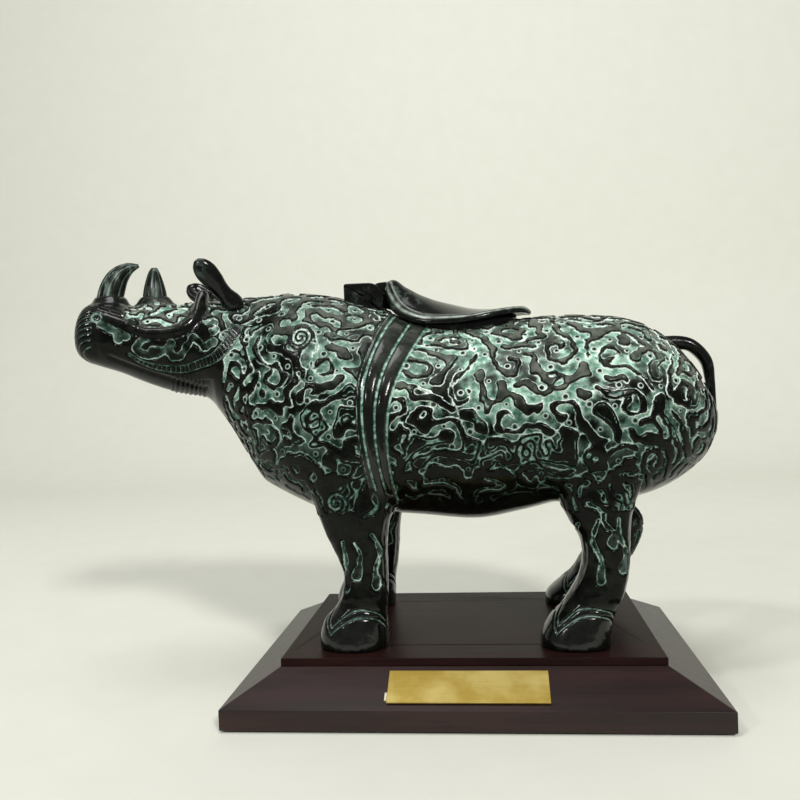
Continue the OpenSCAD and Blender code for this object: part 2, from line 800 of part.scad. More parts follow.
module backing_board() {
    color(bare_wood_tone) difference() {
        translate([0, 0, board_z]) linear_extrude(board_t)
            square([opening_len - 2 * board_gap, opening_dep - 2 * board_gap], center = true);
        screw_holes(screw_d + 2 * screw_gap);
    }
}

module base_felt() {
    color(felt_tone) linear_extrude(felt_t)
        square([base_len - 2 * felt_in, base_dep - 2 * felt_in], center = true);
}

module on_bevel(lift) {
    translate([plaque_x, -base_dep / 2, base_edge]) rotate([bevel_angle, 0, 0])
        translate([0, bevel_slope / 2, lift]) children();
}

module plaque() {
    color(brass_tone) on_bevel(tape_t) linear_extrude(plaque_t) square([plaque_len, plaque_h], center = true);
}

module plaque_tape() {
    color(tape_tone) on_bevel(0) linear_extrude(tape_t) {
        square([plaque_len - 2 * tape_in, plaque_h - 2 * tape_in], center = true);
        translate([-plaque_len / 2 - tape_tab / 2, -plaque_h / 2 + tape_in])
            square([2 * tape_tab, 2 * tape_tab]);
    }
}

module screw(spot) {
    seat = board_z - washer_t;
    translate([spot[0], spot[1], seat]) difference() {
        union() {
            cylinder(h = stand_z + screw_depth - 1 - seat, d = screw_d, $fn = round_facets);
            translate([0, 0, -screw_head_h]) cylinder(h = screw_head_h, r = screw_head_r, $fn = round_facets);
        }
        translate([-screw_head_r - 1, -screw_slot_w / 2, -screw_head_h - 1])
            cube([2 * screw_head_r + 2, screw_slot_w, 2]);
    }
}

module mounting_screws() {
    color(steel_tone) for (p = screw_spots) screw(p);
}

module washers() {
    color(steel_tone) for (p = screw_spots)
        translate([p[0], p[1], board_z - washer_t]) difference() {
            cylinder(h = washer_t, r = washer_r, $fn = round_facets);
            translate([0, 0, -1]) cylinder(h = washer_t + 2, d = screw_d + 2 * screw_gap, $fn = round_facets);
        }
}

body_shell();
head();
front_left_leg();
front_right_leg();
rear_left_leg();
rear_right_leg();
nose_horn();
brow_horn();
left_ear();
right_ear();
left_eye();
right_eye();
tail();
mouth_collar();
lid();
hinge_bracket();
hinge_pin();
top_slab();
backing_board();
front_rail();
back_rail();
left_rail();
right_rail();
base_felt();
plaque();
plaque_tape();
mounting_screws();
washers();
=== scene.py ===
import math

import bpy
import numpy as np
from mathutils import Matrix, Vector, kdtree, noise


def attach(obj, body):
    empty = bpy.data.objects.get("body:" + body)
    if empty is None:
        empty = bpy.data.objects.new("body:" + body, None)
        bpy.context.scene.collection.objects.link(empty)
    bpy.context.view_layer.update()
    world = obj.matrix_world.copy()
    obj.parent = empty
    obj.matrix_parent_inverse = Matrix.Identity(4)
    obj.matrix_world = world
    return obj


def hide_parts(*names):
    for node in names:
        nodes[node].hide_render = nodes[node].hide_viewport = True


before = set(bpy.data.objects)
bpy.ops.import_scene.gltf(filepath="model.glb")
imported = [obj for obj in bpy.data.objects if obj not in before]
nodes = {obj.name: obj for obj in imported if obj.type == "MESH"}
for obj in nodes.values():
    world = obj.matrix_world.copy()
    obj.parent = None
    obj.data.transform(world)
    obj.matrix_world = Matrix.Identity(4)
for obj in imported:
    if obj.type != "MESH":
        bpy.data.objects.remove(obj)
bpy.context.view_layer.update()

MM = 0.001

# The sizes and tables that the solids are made from, in millimetres
STAND_Z = 28.0
BELLY_Z = 87.5
BODY_H = 130.0
BODY_LEN = 248.5
BODY_W = 124.0
NECK_X = -112.0
HEAD_LEN = 106.5
BEND_LEN = 50.0
TURN = math.radians(22)
BEND_R = BEND_LEN / TURN
BACK_POWER = 1.8


def along(percent):
    return NECK_X + percent / 100 * BODY_LEN


def height(percent):
    return BELLY_Z + percent / 100 * BODY_H


FRONT_LEG_X = along(21.5)
REAR_LEG_X = along(72)
LEG_JOINT_Z = height(19)
LEG_H = LEG_JOINT_Z - STAND_Z
HOOF_Y = 43.0
LEG_TOP_Y = 41.0
FRONT_STEP = 6.0
REAR_STEP = 8.0
HORN_BASE_Z = height(100)
NOSE_HORN_U = 87.0
BROW_HORN_U = 63.0
RIB_W, RIB_GAP, RIB_H, RIB_FADE = 8.2, 1.4, 1.3, 0.07
WALL = 6.0
TAIL_ROOT = (along(88.93), height(71.8))
HINGE = (along(24.15), height(95.8))
LID_X0 = HINGE[0] + 8.5
LID_LEN, LID_W = 82.0, 54.0
LID_MID = LID_X0 + LID_LEN / 2
LID_DATUM, LID_T, POMMEL_H = height(89.3), 3.5, 19.0
KNUCKLE, PIN_BORE_R = 6.0, 2.05
BRACKET_W, BRACKET_CHEEK, SWING_GAP = 20.0, 5.6, 0.3
TONGUE_W = BRACKET_W - 2 * BRACKET_CHEEK - 2 * SWING_GAP
EAR_LEN, EAR_PEG, EAR_EASE = 34.0, 5.0, 0.97

# Percent along the body, top, underside and width in percent, and how boxy the underside is
BODY_TABLE = [
    [0, 98.8, 16.5, 68, 2.2], [4.8, 99.6, 12.4, 79, 2.5], [10.5, 98.8, 8.4, 88, 3.2], [16, 97, 5.4, 93, 4],
    [21.7, 93.8, 5, 95, 4], [27, 91, 4.6, 95.5, 3.2], [35, 85.8, 2.2, 95, 2.3], [47, 83.6, 0, 97, 2.1],
    [57, 84.2, 3.6, 98.5, 2.4], [65.2, 85, 8.4, 100, 3.4], [72.4, 84.6, 9, 100, 4], [79.7, 83, 9.2, 96, 3.6],
    [86, 78.6, 11.6, 85.5, 2.8], [91.7, 69.5, 16.5, 69, 2.3], [95.8, 59.4, 23, 50, 2.1],
    [98.4, 49, 31.4, 29, 2], [99.4, 44, 36.4, 12, 2],
]
# Percent along the head, top and underside in percent, half width, and how boxy the top and the underside are
HEAD_TABLE = [
    [0, 98.8, 16.5, 42, 1.8, 2.2], [11, 98.6, 29.5, 37, 1.8, 2.1], [22, 97.8, 44, 33, 1.9, 2],
    [33, 98, 55, 30, 2, 1.9], [43, 96.8, 57.4, 28, 2.3, 1.7], [54, 96, 59.4, 26, 2.5, 1.7],
    [66, 95.8, 63.2, 23.5, 2.5, 1.8], [77, 96, 67.3, 21.5, 2.5, 1.9], [87, 97.4, 70.2, 19.6, 2.6, 2.1],
    [94, 96, 72.4, 17.4, 2.7, 2.3], [98, 91.6, 75, 13.8, 2.6, 2.3], [100, 86, 78.4, 8, 2.2, 2],
]
# Percent up the leg, shift along X, half length and half width
FRONT_LEG = [
    [0, -2, 17.2, 16.6], [1, -2, 18, 17.4], [8, -2, 17.8, 17], [17, -1, 16.2, 15.8], [24, 2, 13.6, 13.4],
    [32, 4, 12.2, 12], [44, 5, 11.6, 11.6], [57, 3, 13.4, 12.6], [72, 0.5, 17, 14], [84, 0, 19.6, 14.8],
    [100, 0, 20, 15],
]
REAR_LEFT_LEG = [
    [0, -13.5, 17.2, 16.6], [1, -13.5, 18, 17.4], [8, -13, 17.6, 17], [17, -10, 16, 15.4],
    [23, -6.2, 14.8, 13.6], [31, -2, 13.8, 12.4], [43, 1.8, 12.4, 12.2], [55, 3.2, 12, 12.6],
    [66, 2.6, 13, 13.6], [80, 0, 17, 15.2], [100, 0.5, 20, 15.4],
]
REAR_RIGHT_LEG = [
    [0, -13.5, 17.2, 16.6], [1, -13.5, 18, 17.4], [8, -12, 17.6, 17], [17, -4, 16.4, 15.4],
    [23, 1.5, 15.4, 13.6], [31, 7, 15, 12.4], [43, 13.4, 15.2, 12.2], [55, 17, 15.8, 12.6],
    [66, 14.6, 16.4, 13.6], [80, 2, 17, 15.2], [100, 0.5, 20, 15.4],
]
LEGS = {
    "front_left_leg": (FRONT_LEG, FRONT_LEG_X, -1, 0.0),
    "front_right_leg": (FRONT_LEG, FRONT_LEG_X, 1, -FRONT_STEP),
    "rear_left_leg": (REAR_LEFT_LEG, REAR_LEG_X, -1, 0.0),
    "rear_right_leg": (REAR_RIGHT_LEG, REAR_LEG_X, 1, REAR_STEP),
}
# Place along the neck, from its middle and in height, and radius of a brow ridge
BROW_TABLE = [
    [95, 15.4, 92.3, 1.9], [82, 20, 88.2, 2.5], [69, 23, 83.6, 2.4], [54, 25.2, 84, 3], [42, 22.8, 88.8, 4.1],
    [36, 12.5, 99.6, 3.6],
]
# Percent back and up, percent of the radius, and tilt of a horn's section
NOSE_HORN = [
    [0, -8, 100, 0], [0, 0, 100, 0], [9, 30, 93, 17], [26, 60, 76, 38], [53, 81.6, 45, 58],
    [79, 88.2, 13, 75],
]
BROW_HORN = [
    [0, -8, 100, 0], [0, 0, 100, 0], [0, 30, 88, 0], [0, 60, 68, 0], [0, 85, 46, 0], [1, 100, 24, 0],
]
# Percent along the ear, half width and half thickness
EAR = [
    [0, 4, 4], [6, 4, 4], [14, 6, 5.4], [24, 6, 5.2], [36, 4.8, 4.4], [48, 4.9, 4.2], [62, 6, 4.3],
    [80, 6.4, 4.1], [93, 4.6, 2.9], [100, 1.6, 1.1],
]
# Place along X and height from the root, half thickness and half width
TAIL = [
    [0, 0, 4.4, 4.4], [8, 0, 4.4, 4.4], [14.5, -1.4, 4, 4.8], [20, -6, 3.7, 5], [23.6, -12, 3.4, 4.6],
    [24.9, -21, 2.8, 3.6], [26.2, -34, 1.9, 2.4], [27.6, -45, 0.8, 0.9],
]
# Percent along the lid; the ridge, the underside and the edge in percent of the pommel's height
LID = np.array([
    [0, 90, 36, 42], [7, 100, 32, 5], [14, 78, 29, -16], [24, 53, 25, -28], [35, 33, 22, -33],
    [48, 17, 17, -32], [60, 4, 12, -27], [72, 0, 9, -17], [84, 2, 8, -8], [94, 2, 6, -5], [100, -5, -6, -11],
], float)

# Curves and meshes


def curve(a, b, c, d, t):
    """A smooth curve from b to c, with a before them and d after."""
    square, cube = 2 * a - 5 * b + 4 * c - d, 3 * b - a - 3 * c + d
    return 0.5 * (2 * b + (c - a) * t + square * t ** 2 + cube * t ** 3)


def spline(table, steps):
    """Rows of a table, with a smooth curve through them."""
    t = np.asarray(table, float)
    pad = np.vstack([t[:1], t, t[-1:]])
    out = [curve(*pad[i:i + 4], s) for i in range(len(t) - 1) for s in np.arange(steps) / steps]
    return np.array(out + [t[-1]])


def reach(a, power):
    """Unit outline of a rounded section: power 2 is a circle, higher powers are boxier."""
    return (np.abs(np.cos(a)) ** power + np.abs(np.sin(a)) ** power) ** (-1 / power)


def smoothstep(low, high, x):
    t = np.clip((x - low) / (high - low), 0, 1)
    return t * t * (3 - 2 * t)


def bell(x, width, middle=0.0):
    """A soft bump that is 1 at its middle."""
    return np.exp(-((x - middle) / width) ** 2)


def columns(*parts):
    """Points from their coordinates. A single number holds for all points."""
    return np.stack(np.broadcast_arrays(*parts), -1)


def ring_angles(count):
    return np.linspace(0, 2 * math.pi, count, endpoint=False)


def loft(rings):
    """Vertices and faces of a closed skin over rings of points, with a fan at each end."""
    rings = np.asarray(rings, float)
    m, n = rings.shape[:2]
    verts = np.vstack([rings.reshape(-1, 3), rings[0].mean(0), rings[-1].mean(0)])
    i = np.arange(n)
    faces = []
    for j in range(m - 1):
        a, b = j * n + i, j * n + (i + 1) % n
        faces += np.stack([a, b, b + n, a + n], 1).tolist()
    first, last, top = m * n, m * n + 1, (m - 1) * n
    faces += np.stack([(i + 1) % n, i, np.full(n, first)], 1).tolist()
    faces += np.stack([top + i, top + (i + 1) % n, np.full(n, last)], 1).tolist()
    return verts, faces


def prism(outline, half_w):
    """A flat outline in X and Z, drawn out to both sides."""
    outline = np.asarray(outline, float)
    return loft([columns(outline[:, 0], w, outline[:, 1])
                 for w in (-half_w, -half_w + 0.01, half_w - 0.01, half_w)])


def joined(parts):
    """Several (vertices, faces) as one."""
    verts, faces, offset = [], [], 0
    for v, f in parts:
        verts.append(v)
        faces += [[k + offset for k in face] for face in f]
        offset += len(v)
    return np.vstack(verts), faces


def new_object(name, data):
    """A new object in the scene."""
    obj = bpy.data.objects.new(name, data)
    bpy.context.scene.collection.objects.link(obj)
    return obj


def mesh_object(name, verts, faces):
    """A new object from vertices in millimetres."""
    mesh = bpy.data.meshes.new(name)
    mesh.from_pydata((np.asarray(verts) * MM).tolist(), [], faces)
    mesh.validate()
    obj = new_object(name, mesh)
    outward(mesh)
    smooth_shade(obj)
    return obj


def outward(mesh):
    """Turns a closed mesh's faces outward."""
    mesh.calc_loop_triangles()
    tri = np.empty(len(mesh.loop_triangles) * 3, int)
    mesh.loop_triangles.foreach_get("vertices", tri)
    p = points_of(mesh)[tri.reshape(-1, 3)]
    if np.einsum("ij,ij->i", p[:, 0], np.cross(p[:, 1], p[:, 2])).sum() < 0:
        mesh.flip_normals()


def smooth_shade(obj):
    obj.data.polygons.foreach_set("use_smooth", np.full(len(obj.data.polygons), True))


def points_of(mesh):
    co = np.empty(len(mesh.vertices) * 3)
    mesh.vertices.foreach_get("co", co)
    return co.reshape(-1, 3) / MM


def move_points(mesh, points):
    mesh.vertices.foreach_set("co", (points * MM).ravel())
    mesh.update()


def normals_of(mesh):
    no = np.empty(len(mesh.vertices) * 3)
    mesh.vertices.foreach_get("normal", no)
    return no.reshape(-1, 3)


def put_attribute(mesh, name, values):
    layer = mesh.attributes.get(name) or mesh.attributes.new(name, "FLOAT", "POINT")
    layer.data.foreach_set("value", np.asarray(values, np.float32))


def attribute_of(mesh, name):
    out = np.empty(len(mesh.vertices), np.float32)
    mesh.attributes[name].data.foreach_get("value", out)
    return out.astype(float)


def modify(obj, kind, **settings):
    """Adds a modifier with its settings."""
    step = obj.modifiers.new(kind.lower(), kind)
    for name, value in settings.items():
        setattr(step, name, value)


def applied(obj):
    """Applies an object's modifiers to its mesh."""
    bpy.context.view_layer.update()
    deps = bpy.context.evaluated_depsgraph_get()
    mesh = bpy.data.meshes.new_from_object(obj.evaluated_get(deps))
    old = obj.data
    obj.modifiers.clear()
    obj.data = mesh
    bpy.data.meshes.remove(old)
    return obj


def remeshed(obj, voxel):
    """One even skin over an object's overlapping parts."""
    modify(obj, "REMESH", mode="VOXEL", voxel_size=voxel * MM)
    return applied(obj)


def finer(obj):
    modify(obj, "SUBSURF", levels=1, render_levels=1)
    return applied(obj)


def cut(obj, other, operation):
    modify(obj, "BOOLEAN", solver="MANIFOLD", operation=operation, object=other)
    return applied(obj)


def copy_object(obj, name):
    new = new_object(name, obj.data.copy())
    new.data.name = name
    return new


def drop_object(obj):
    mesh = obj.data
    bpy.data.objects.remove(obj)
    bpy.data.meshes.remove(mesh)


def tree_of(points):
    tree = kdtree.KDTree(len(points))
    for k, q in enumerate(points):
        tree.insert(q, k)
    tree.balance()
    return tree


class Graph:
    """Averages over the neighbours of each vertex."""

    def __init__(self, mesh):
        self.edges = np.empty(len(mesh.edges) * 2, int)
        mesh.edges.foreach_get("vertices", self.edges)
        self.edges = self.edges.reshape(-1, 2)
        self.n = len(mesh.vertices)
        self.degree = np.maximum(np.bincount(self.edges.ravel(), minlength=self.n), 1)

    def total(self, a, b):
        return sum(np.bincount(ends, weights=w, minlength=self.n) for ends, w in zip(self.edges.T, (b, a)))

    def mean(self, u):
        first, second = self.edges.T
        return self.total(u[first], u[second]) / self.degree

    def mean_points(self, p):
        return columns(*(self.mean(p[:, k]) for k in range(3)))

    def diffuse(self, u, steps, rate=0.8):
        for _ in range(steps):
            u = u + rate * (self.mean(u) - u)
        return u

    def lengths(self, p):
        first, second = self.edges.T
        return np.linalg.norm(p[first] - p[second], axis=1)

    def slope(self, u, p):
        first, second = self.edges.T
        rise = ((u[first] - u[second]) / (self.lengths(p) + 1e-6)) ** 2
        return np.sqrt(2 * self.total(rise, rise) / self.degree)


# Forms of the castings

body_rows = spline(BODY_TABLE, 12)
body_rows = columns(along(body_rows[:, 0]), height(body_rows[:, 1]), height(body_rows[:, 2]),
                    body_rows[:, 3] / 200 * BODY_W, body_rows[:, 4])


def body_rings(rows, count):
    a = ring_angles(count)
    rings = []
    for x, top, low, half_w, power in rows:
        k = np.where(np.sin(a) < 0, reach(a, power), reach(a, BACK_POWER))
        rings.append(columns(x, half_w * k * np.cos(a), (top + low) / 2 + (top - low) / 2 * k * np.sin(a)))
    return rings


def body_measures(x):
    """Middle height, half height and half width of the body at places along it."""
    top, low, half_w = (np.interp(x, body_rows[:, 0], body_rows[:, k]) for k in (1, 2, 3))
    return (top + low) / 2, np.maximum((top - low) / 2, 1), np.maximum(half_w, 1)


def head_point(u, v, z):
    """Points in space, from the distance along the bent neck, from its middle plane, and the height."""
    a = np.clip(u, 0, BEND_LEN) / BEND_R
    past = np.maximum(u - BEND_LEN, 0)
    return columns(NECK_X - np.minimum(u, 0) - BEND_R * np.sin(a) - past * np.cos(a) - v * np.sin(a),
                   -BEND_R * (1 - np.cos(a)) - past * np.sin(a) + v * np.cos(a), z)


def head_place(p):
    """Distance along the neck and from its middle plane, for points in space."""
    dx, dy = p[:, 0] - NECK_X, p[:, 1] + BEND_R
    a = np.arctan2(-dx, dy)
    u, v = a * BEND_R, np.hypot(dx, dy) - BEND_R
    forward = np.array([-math.cos(TURN), -math.sin(TURN)])
    side = np.array([-math.sin(TURN), math.cos(TURN)])
    end = np.array([NECK_X - BEND_R * math.sin(TURN), -BEND_R * (1 - math.cos(TURN))])
    rest = p[:, :2] - end
    past = a > TURN
    u = np.where(past, BEND_LEN + rest @ forward, u)
    v = np.where(past, rest @ side, v)
    behind = p[:, 0] > NECK_X
    return np.where(behind, -dx, u), np.where(behind, p[:, 1], v)


def head_rings(count):
    a = ring_angles(count)
    rings = []
    for s, top, low, half_w, up_power, low_power in spline(HEAD_TABLE, 10):
        k = np.where(np.sin(a) < 0, reach(a, low_power), reach(a, up_power))
        z = height((top + low) / 2) + (height(top) - height(low)) / 2 * k * np.sin(a)
        rings.append(head_point(s / 100 * HEAD_LEN, half_w * k * np.cos(a), z))
    return rings


def leg_rings(table, x, side, step, count=64):
    a = ring_angles(count)
    k = reach(a, 2.4)
    rings = []
    for part, shift, half_l, half_w in spline(table, 8):
        risen = min(1, part / 80)
        cx = x + shift + step * (1 - risen)
        cy = side * (HOOF_Y + (LEG_TOP_Y - HOOF_Y) * risen)
        z = STAND_Z + part / 100 * LEG_H
        rings.append(columns(cx + half_l * k * np.cos(a), cy + half_w * k * np.sin(a), z))
    return rings


def capsule(p, q, rp, rq, count=28):
    """A tapered rod with round ends."""
    p, q = np.asarray(p, float), np.asarray(q, float)
    axis = (q - p) / np.linalg.norm(q - p)
    side = np.cross(axis, [1, 0, 0])
    side /= np.linalg.norm(side)
    a = ring_angles(count)
    circle = np.cos(a)[:, None] * side + np.sin(a)[:, None] * np.cross(axis, side)
    rings = []
    for centre, r, low, high in ((p, rp, -88, -2), (q, rq, 2, 88)):
        for t in np.radians(np.linspace(low, high, 10)):
            rings.append(centre + r * (math.sin(t) * axis + math.cos(t) * circle))
    return loft(rings)


def swells():
    """Rounds where the legs run into the flanks."""
    places = ((FRONT_LEG_X - 2, 19.8, 40), (REAR_LEG_X + 4, 16.6, 42))
    return [capsule([x, side * (BODY_W / 2 - inset), height(top)], [x, side * LEG_TOP_Y, LEG_JOINT_Z], 17, 15)
            for side in (-1, 1) for x, inset, top in places]


def horn_boss(u, low_l, low_w, top_r, low=91, count=48):
    """The swelling that a horn stands on."""
    a = ring_angles(count)
    rings = []
    for t in np.linspace(0, 1, 10):
        half_l, half_w = low_l + (top_r - low_l) * t * t, low_w + (top_r - low_w) * t * t
        z = height(low) + (HORN_BASE_Z + 0.3 - height(low)) * t
        rings.append(head_point(u + half_l * np.cos(a), half_w * np.sin(a), z))
    return loft(rings)


def brow_line(side):
    """Centres and radii of the rounds that make a brow ridge."""
    rows = spline(BROW_TABLE, 5)
    return head_point(rows[:, 0], side * rows[:, 1], height(rows[:, 2])), rows[:, 3]


def brow_ridge(side):
    c, r = brow_line(side)
    return [capsule(c[k], c[k + 1], r[k], r[k + 1], 16) for k in range(len(r) - 1)]


def plain_skin(voxel=1.25):
    """One skin over body, neck, head and legs, which meet in soft hollows. Hoof soles stay flat."""
    parts = [loft(body_rings(body_rows, 120)), loft(head_rings(96))]
    parts += [loft(leg_rings(*leg)) for leg in LEGS.values()] + swells()
    parts += [horn_boss(NOSE_HORN_U, 11.5, 14, 8.4), horn_boss(BROW_HORN_U, 12.5, 16, 7.8)]
    parts += brow_ridge(-1) + brow_ridge(1)
    obj = remeshed(mesh_object("skin", *joined(parts)), voxel)
    graph, p = Graph(obj.data), points_of(obj.data)
    flat = p[:, 2] < STAND_Z + 1.2
    by_leg = np.minimum(abs(p[:, 0] - FRONT_LEG_X), abs(p[:, 0] - REAR_LEG_X)) < 34
    soft = np.clip(bell(p[:, 2], 16, 104) * by_leg + bell(p[:, 0], 14, NECK_X), 0, 1) * ~flat
    for step in range(26):
        rate = 0.5 * (soft if step > 4 else ~flat)
        p = p + rate[:, None] * (graph.mean_points(p) - p)
    move_points(obj.data, p)
    return obj, graph, p


# Scroll ornament: seeded hooks on the flanks, and bands that settle round them by short-range growth and
# longer-range damping, as stripes do on a hide


def segment_distance(q, line):
    """Distance of plane points to a polyline, and the distance along it of the nearest point."""
    best = np.full(len(q), 1e9)
    place = np.zeros(len(q))
    run = 0.0
    for a, b in zip(line[:-1], line[1:]):
        d = b - a
        length = np.hypot(*d)
        t = np.clip(((q - a) @ d) / (length * length + 1e-9), 0, 1)
        gap = np.hypot(*(q - a - t[:, None] * d).T)
        near = gap < best
        best = np.where(near, gap, best)
        place = np.where(near, run + t * length, place)
        run += length
    return best, place


def hook(centre, radius, start, way, turns, tail, bend, inner=2.4, steps=12):
    """A curl that runs out into a tail of the other hand."""
    t = np.linspace(0, 1, 26)
    angle = start + way * 2 * math.pi * turns * t
    r = inner + (radius - inner) * t
    curl = columns(centre[0] + r * np.cos(angle), centre[1] + r * np.sin(angle))
    dx, dy = curl[-1] - curl[-2]
    heading = math.atan2(dy, dx)
    out = [curl[-1]]
    for _ in range(steps):
        heading += way * bend * tail / steps * 2
        out.append(out[-1] + tail / steps * np.array([math.cos(heading), math.sin(heading)]))
    return np.vstack([curl, out[1:]])


def scattered(rng, low, high, spacing, tries=900):
    """Seeded places in a box, no two nearer than the spacing."""
    kept = []
    for q in rng.uniform(low, high, (tries, 2)):
        if all(np.hypot(*(q - k)) > spacing for k in kept):
            kept.append(q)
    return kept


def thinned(candidates, spacing):
    """Points in the given order, leaving out those nearer than the spacing to one already taken."""
    taken = {}
    for q in candidates:
        cell = tuple((q // spacing).astype(int))
        near = [r for i in (-1, 0, 1) for j in (-1, 0, 1) for k in (-1, 0, 1)
                for r in taken.get((cell[0] + i, cell[1] + j, cell[2] + k), ())]
        if all(np.linalg.norm(q - r) > spacing for r in near):
            taken.setdefault(cell, []).append(q)
    return np.array([q for group in taken.values() for q in group])


def speckle(points, size, seed):
    """Smooth noise between -1 and 1 at points, with features of a given size."""
    shift = Vector((17.3, 5.1, 9.7)) * seed
    return np.array([noise.noise(Vector(q) / size + shift) for q in points])


def girth_place(q):
    """Distance behind the groove between the girth ribs, a rib's width there, and its share of the height."""
    mid, half, half_w = body_measures(q[:, 0])
    a = np.arctan2((q[:, 2] - mid) / half, q[:, 1] / half_w)
    part = (1 + np.sin(a)) / 2
    middle = along(31) - 11 * np.sin(math.pi * part) + 8 * part ** 2
    return q[:, 0] - middle, RIB_W * (0.25 + 0.75 * part), np.clip((1 - part) / RIB_FADE, 0, 1)


def pinned_hooks(p, normals, none=-9.0):
    """How far each point lies inside the line of a seeded hook on its flank."""
    pin = np.full(len(p), none)
    for side, seed in ((-1, 11), (1, 29)):
        rng = np.random.default_rng(seed)
        here = (p[:, 1] * side > 0) & (abs(normals[:, 1]) > 0.25) & (p[:, 0] >= NECK_X) & (p[:, 2] > 96)
        q = p[here][:, [0, 2]]
        best = np.full(len(q), none)
        for centre in scattered(rng, (-104, 112), (124, 180), 23):
            way = rng.choice([-1, 1])
            line = hook(centre, rng.uniform(6, 9.5), rng.uniform(0, 2 * math.pi), way, rng.uniform(0.8, 1.2),
                        rng.uniform(13, 26), rng.uniform(-0.06, -0.01))
            best = np.maximum(best, rng.uniform(1.1, 1.9) - segment_distance(q, line)[0])
        pin[here] = best
    behind, rib_w, _ = girth_place(p)
    pin[abs(behind) < rib_w + 7] = none
    return pin


def bands(graph, spread, pin, wavelength, bias, seed, rounds=36):
    """A settled band field: above 0 in the raised bands, below 0 in the hollows between."""
    k2 = (2 * math.pi / wavelength) ** 2
    inner = 2 * math.log(4) / 3 / k2
    near, far = max(1, round(inner / spread)), max(2, round(3 * inner / spread))
    rng = np.random.default_rng(seed)
    u = graph.diffuse(rng.normal(0, 1, graph.n), near)
    u /= u.std()
    held = pin > -2.4
    for _ in range(rounds):
        a = graph.diffuse(u, near)
        u = np.tanh(5 * (a - graph.diffuse(a, far)) + bias)
        u[held] = np.tanh(pin[held] / 1.1)
    return graph.diffuse(u, max(1, near - 2))


def scroll_field(graph, p, normals):
    """The bands of three widths, mixed in patches, and the distance in millimetres from their edges."""
    pin = pinned_hooks(p, normals)
    spread = 0.8 * np.mean(graph.lengths(p) ** 2) / 2
    broad = bands(graph, spread, pin, 10.4, 0.24, 7, 28)
    wide = bands(graph, spread, pin, 7.6, 0.2, 3)
    fine = bands(graph, spread, pin, 5.6, 0.18, 5)
    x, z = p[:, 0], p[:, 2]
    on_limbs = smoothstep(-106, -118, x) + smoothstep(100, 86, z) * (abs(normals[:, 2]) < 0.8)
    share = np.clip(on_limbs + smoothstep(-0.05, 0.25, speckle(p, 38, 1)), 0, 1)
    field = wide * (1 - share) + fine * share
    grand = smoothstep(0.0, 0.2, speckle(p, 34, 21)) * smoothstep(-118, -106, x) * smoothstep(96, 108, z)
    field = field * (1 - grand) + broad * grand
    # Outlines wander: each place takes its value from a little to one side
    wander = columns(*(2.4 * speckle(p, 6.5, 2 + k) + speckle(p, 2.8, 5 + k) for k in range(3)))
    tree = tree_of(p)
    field = field[[tree.find(q)[1] for q in p + wander]]
    field = graph.diffuse(field, 1) + 0.3 * speckle(p, 22, 9)
    # Hollows are wide on the upper flanks and few below
    field += np.where(z < 97, 0.42, 0.38 * smoothstep(156, 110, z) - 0.1 * smoothstep(156, 180, z))
    return field, np.clip(field / (graph.diffuse(graph.slope(field, p), 2) + 0.04), -4, 4)


# Relief on the fine skin

FAR = 9.0
HEAD_FAR = 99.0
# Lines on the side of the head: distance along the neck and height
SCROLLS = (
    [[70.6, 192.2], [74.3, 188.5], [72, 185], [67.1, 183.5], [61, 185.4], [65.8, 186.6]],
    [[56.2, 190.1], [58, 186.4], [53, 182.4], [46.9, 188.9], [43.1, 192.3], [38.6, 189.6], [36.5, 187],
     [28.8, 190]],
    [[92, 201.5], [84, 197], [78.8, 193.9]],
    [[84.2, 196.8], [83.2, 192.6]],
)
JAW = [
    [78, 184.7], [71.8, 180.2], [62.7, 176.9], [50, 175.8], [38.8, 178.4], [28.7, 181.4], [20.5, 187.4],
    [13.4, 195.4],
]
JAW_FOLD = [[88, 184], [79.1, 179.7], [61.2, 172.6], [43.9, 167], [36, 165]]
# Centre along X and in height, and side of the small spirals
SPIRALS = ((-84, 190, -1), (-66, 104, -1), (-84, 186, 1), (-66, 104, 1))
SPIRAL_R, SPIRAL_PITCH = 5.6, 2.5


class Relief:
    """Fields over the fine skin: its rise, where ornament shows, and distances from edges and cut lines."""

    def __init__(self, mesh):
        self.p, self.normals = points_of(mesh), normals_of(mesh)
        self.n = len(self.p)
        self.x, self.y, self.z = self.p.T
        self.nx, self.ny, self.nz = self.normals.T
        self.u, self.v = head_place(self.p)
        self.edge = Graph(mesh).diffuse(attribute_of(mesh, "edge"), 1)
        self.on_head = self.x < NECK_X
        by_leg = (abs(self.x - FRONT_LEG_X) < 30) | (abs(self.x - REAR_LEG_X + 4) < 32)
        self.on_leg = (self.z < 97) & by_leg & (abs(self.y) > 22)
        self.low_leg = self.on_leg * smoothstep(100, 92, self.z)
        self.side_face = self.on_head & (abs(self.v) > 7) & (self.u < 101)
        self.orn, self.rise, self.line = np.ones(self.n), np.zeros(self.n), np.full(self.n, FAR)

    def cut(self, gap, depth=0.4):
        """Thin cut lines where the gap is small."""
        self.line = np.minimum(self.line, gap)
        self.rise = self.rise - depth * bell(gap, 0.45)

    def from_line(self, points):
        """Distance of the side of the head from a smooth line, and the run along it."""
        far, run = np.full(self.n, HEAD_FAR), np.zeros(self.n)
        q = columns(self.u, self.z)[self.side_face]
        far[self.side_face], run[self.side_face] = segment_distance(q, spline(points, 5))
        return far, run

    def speckle_where(self, here, size, seed):
        out = np.zeros(self.n)
        out[here] = speckle(self.p[here], size, seed)
        return out


def ticks(run, pitch):
    return abs((run / pitch) % 1 - 0.5) * pitch


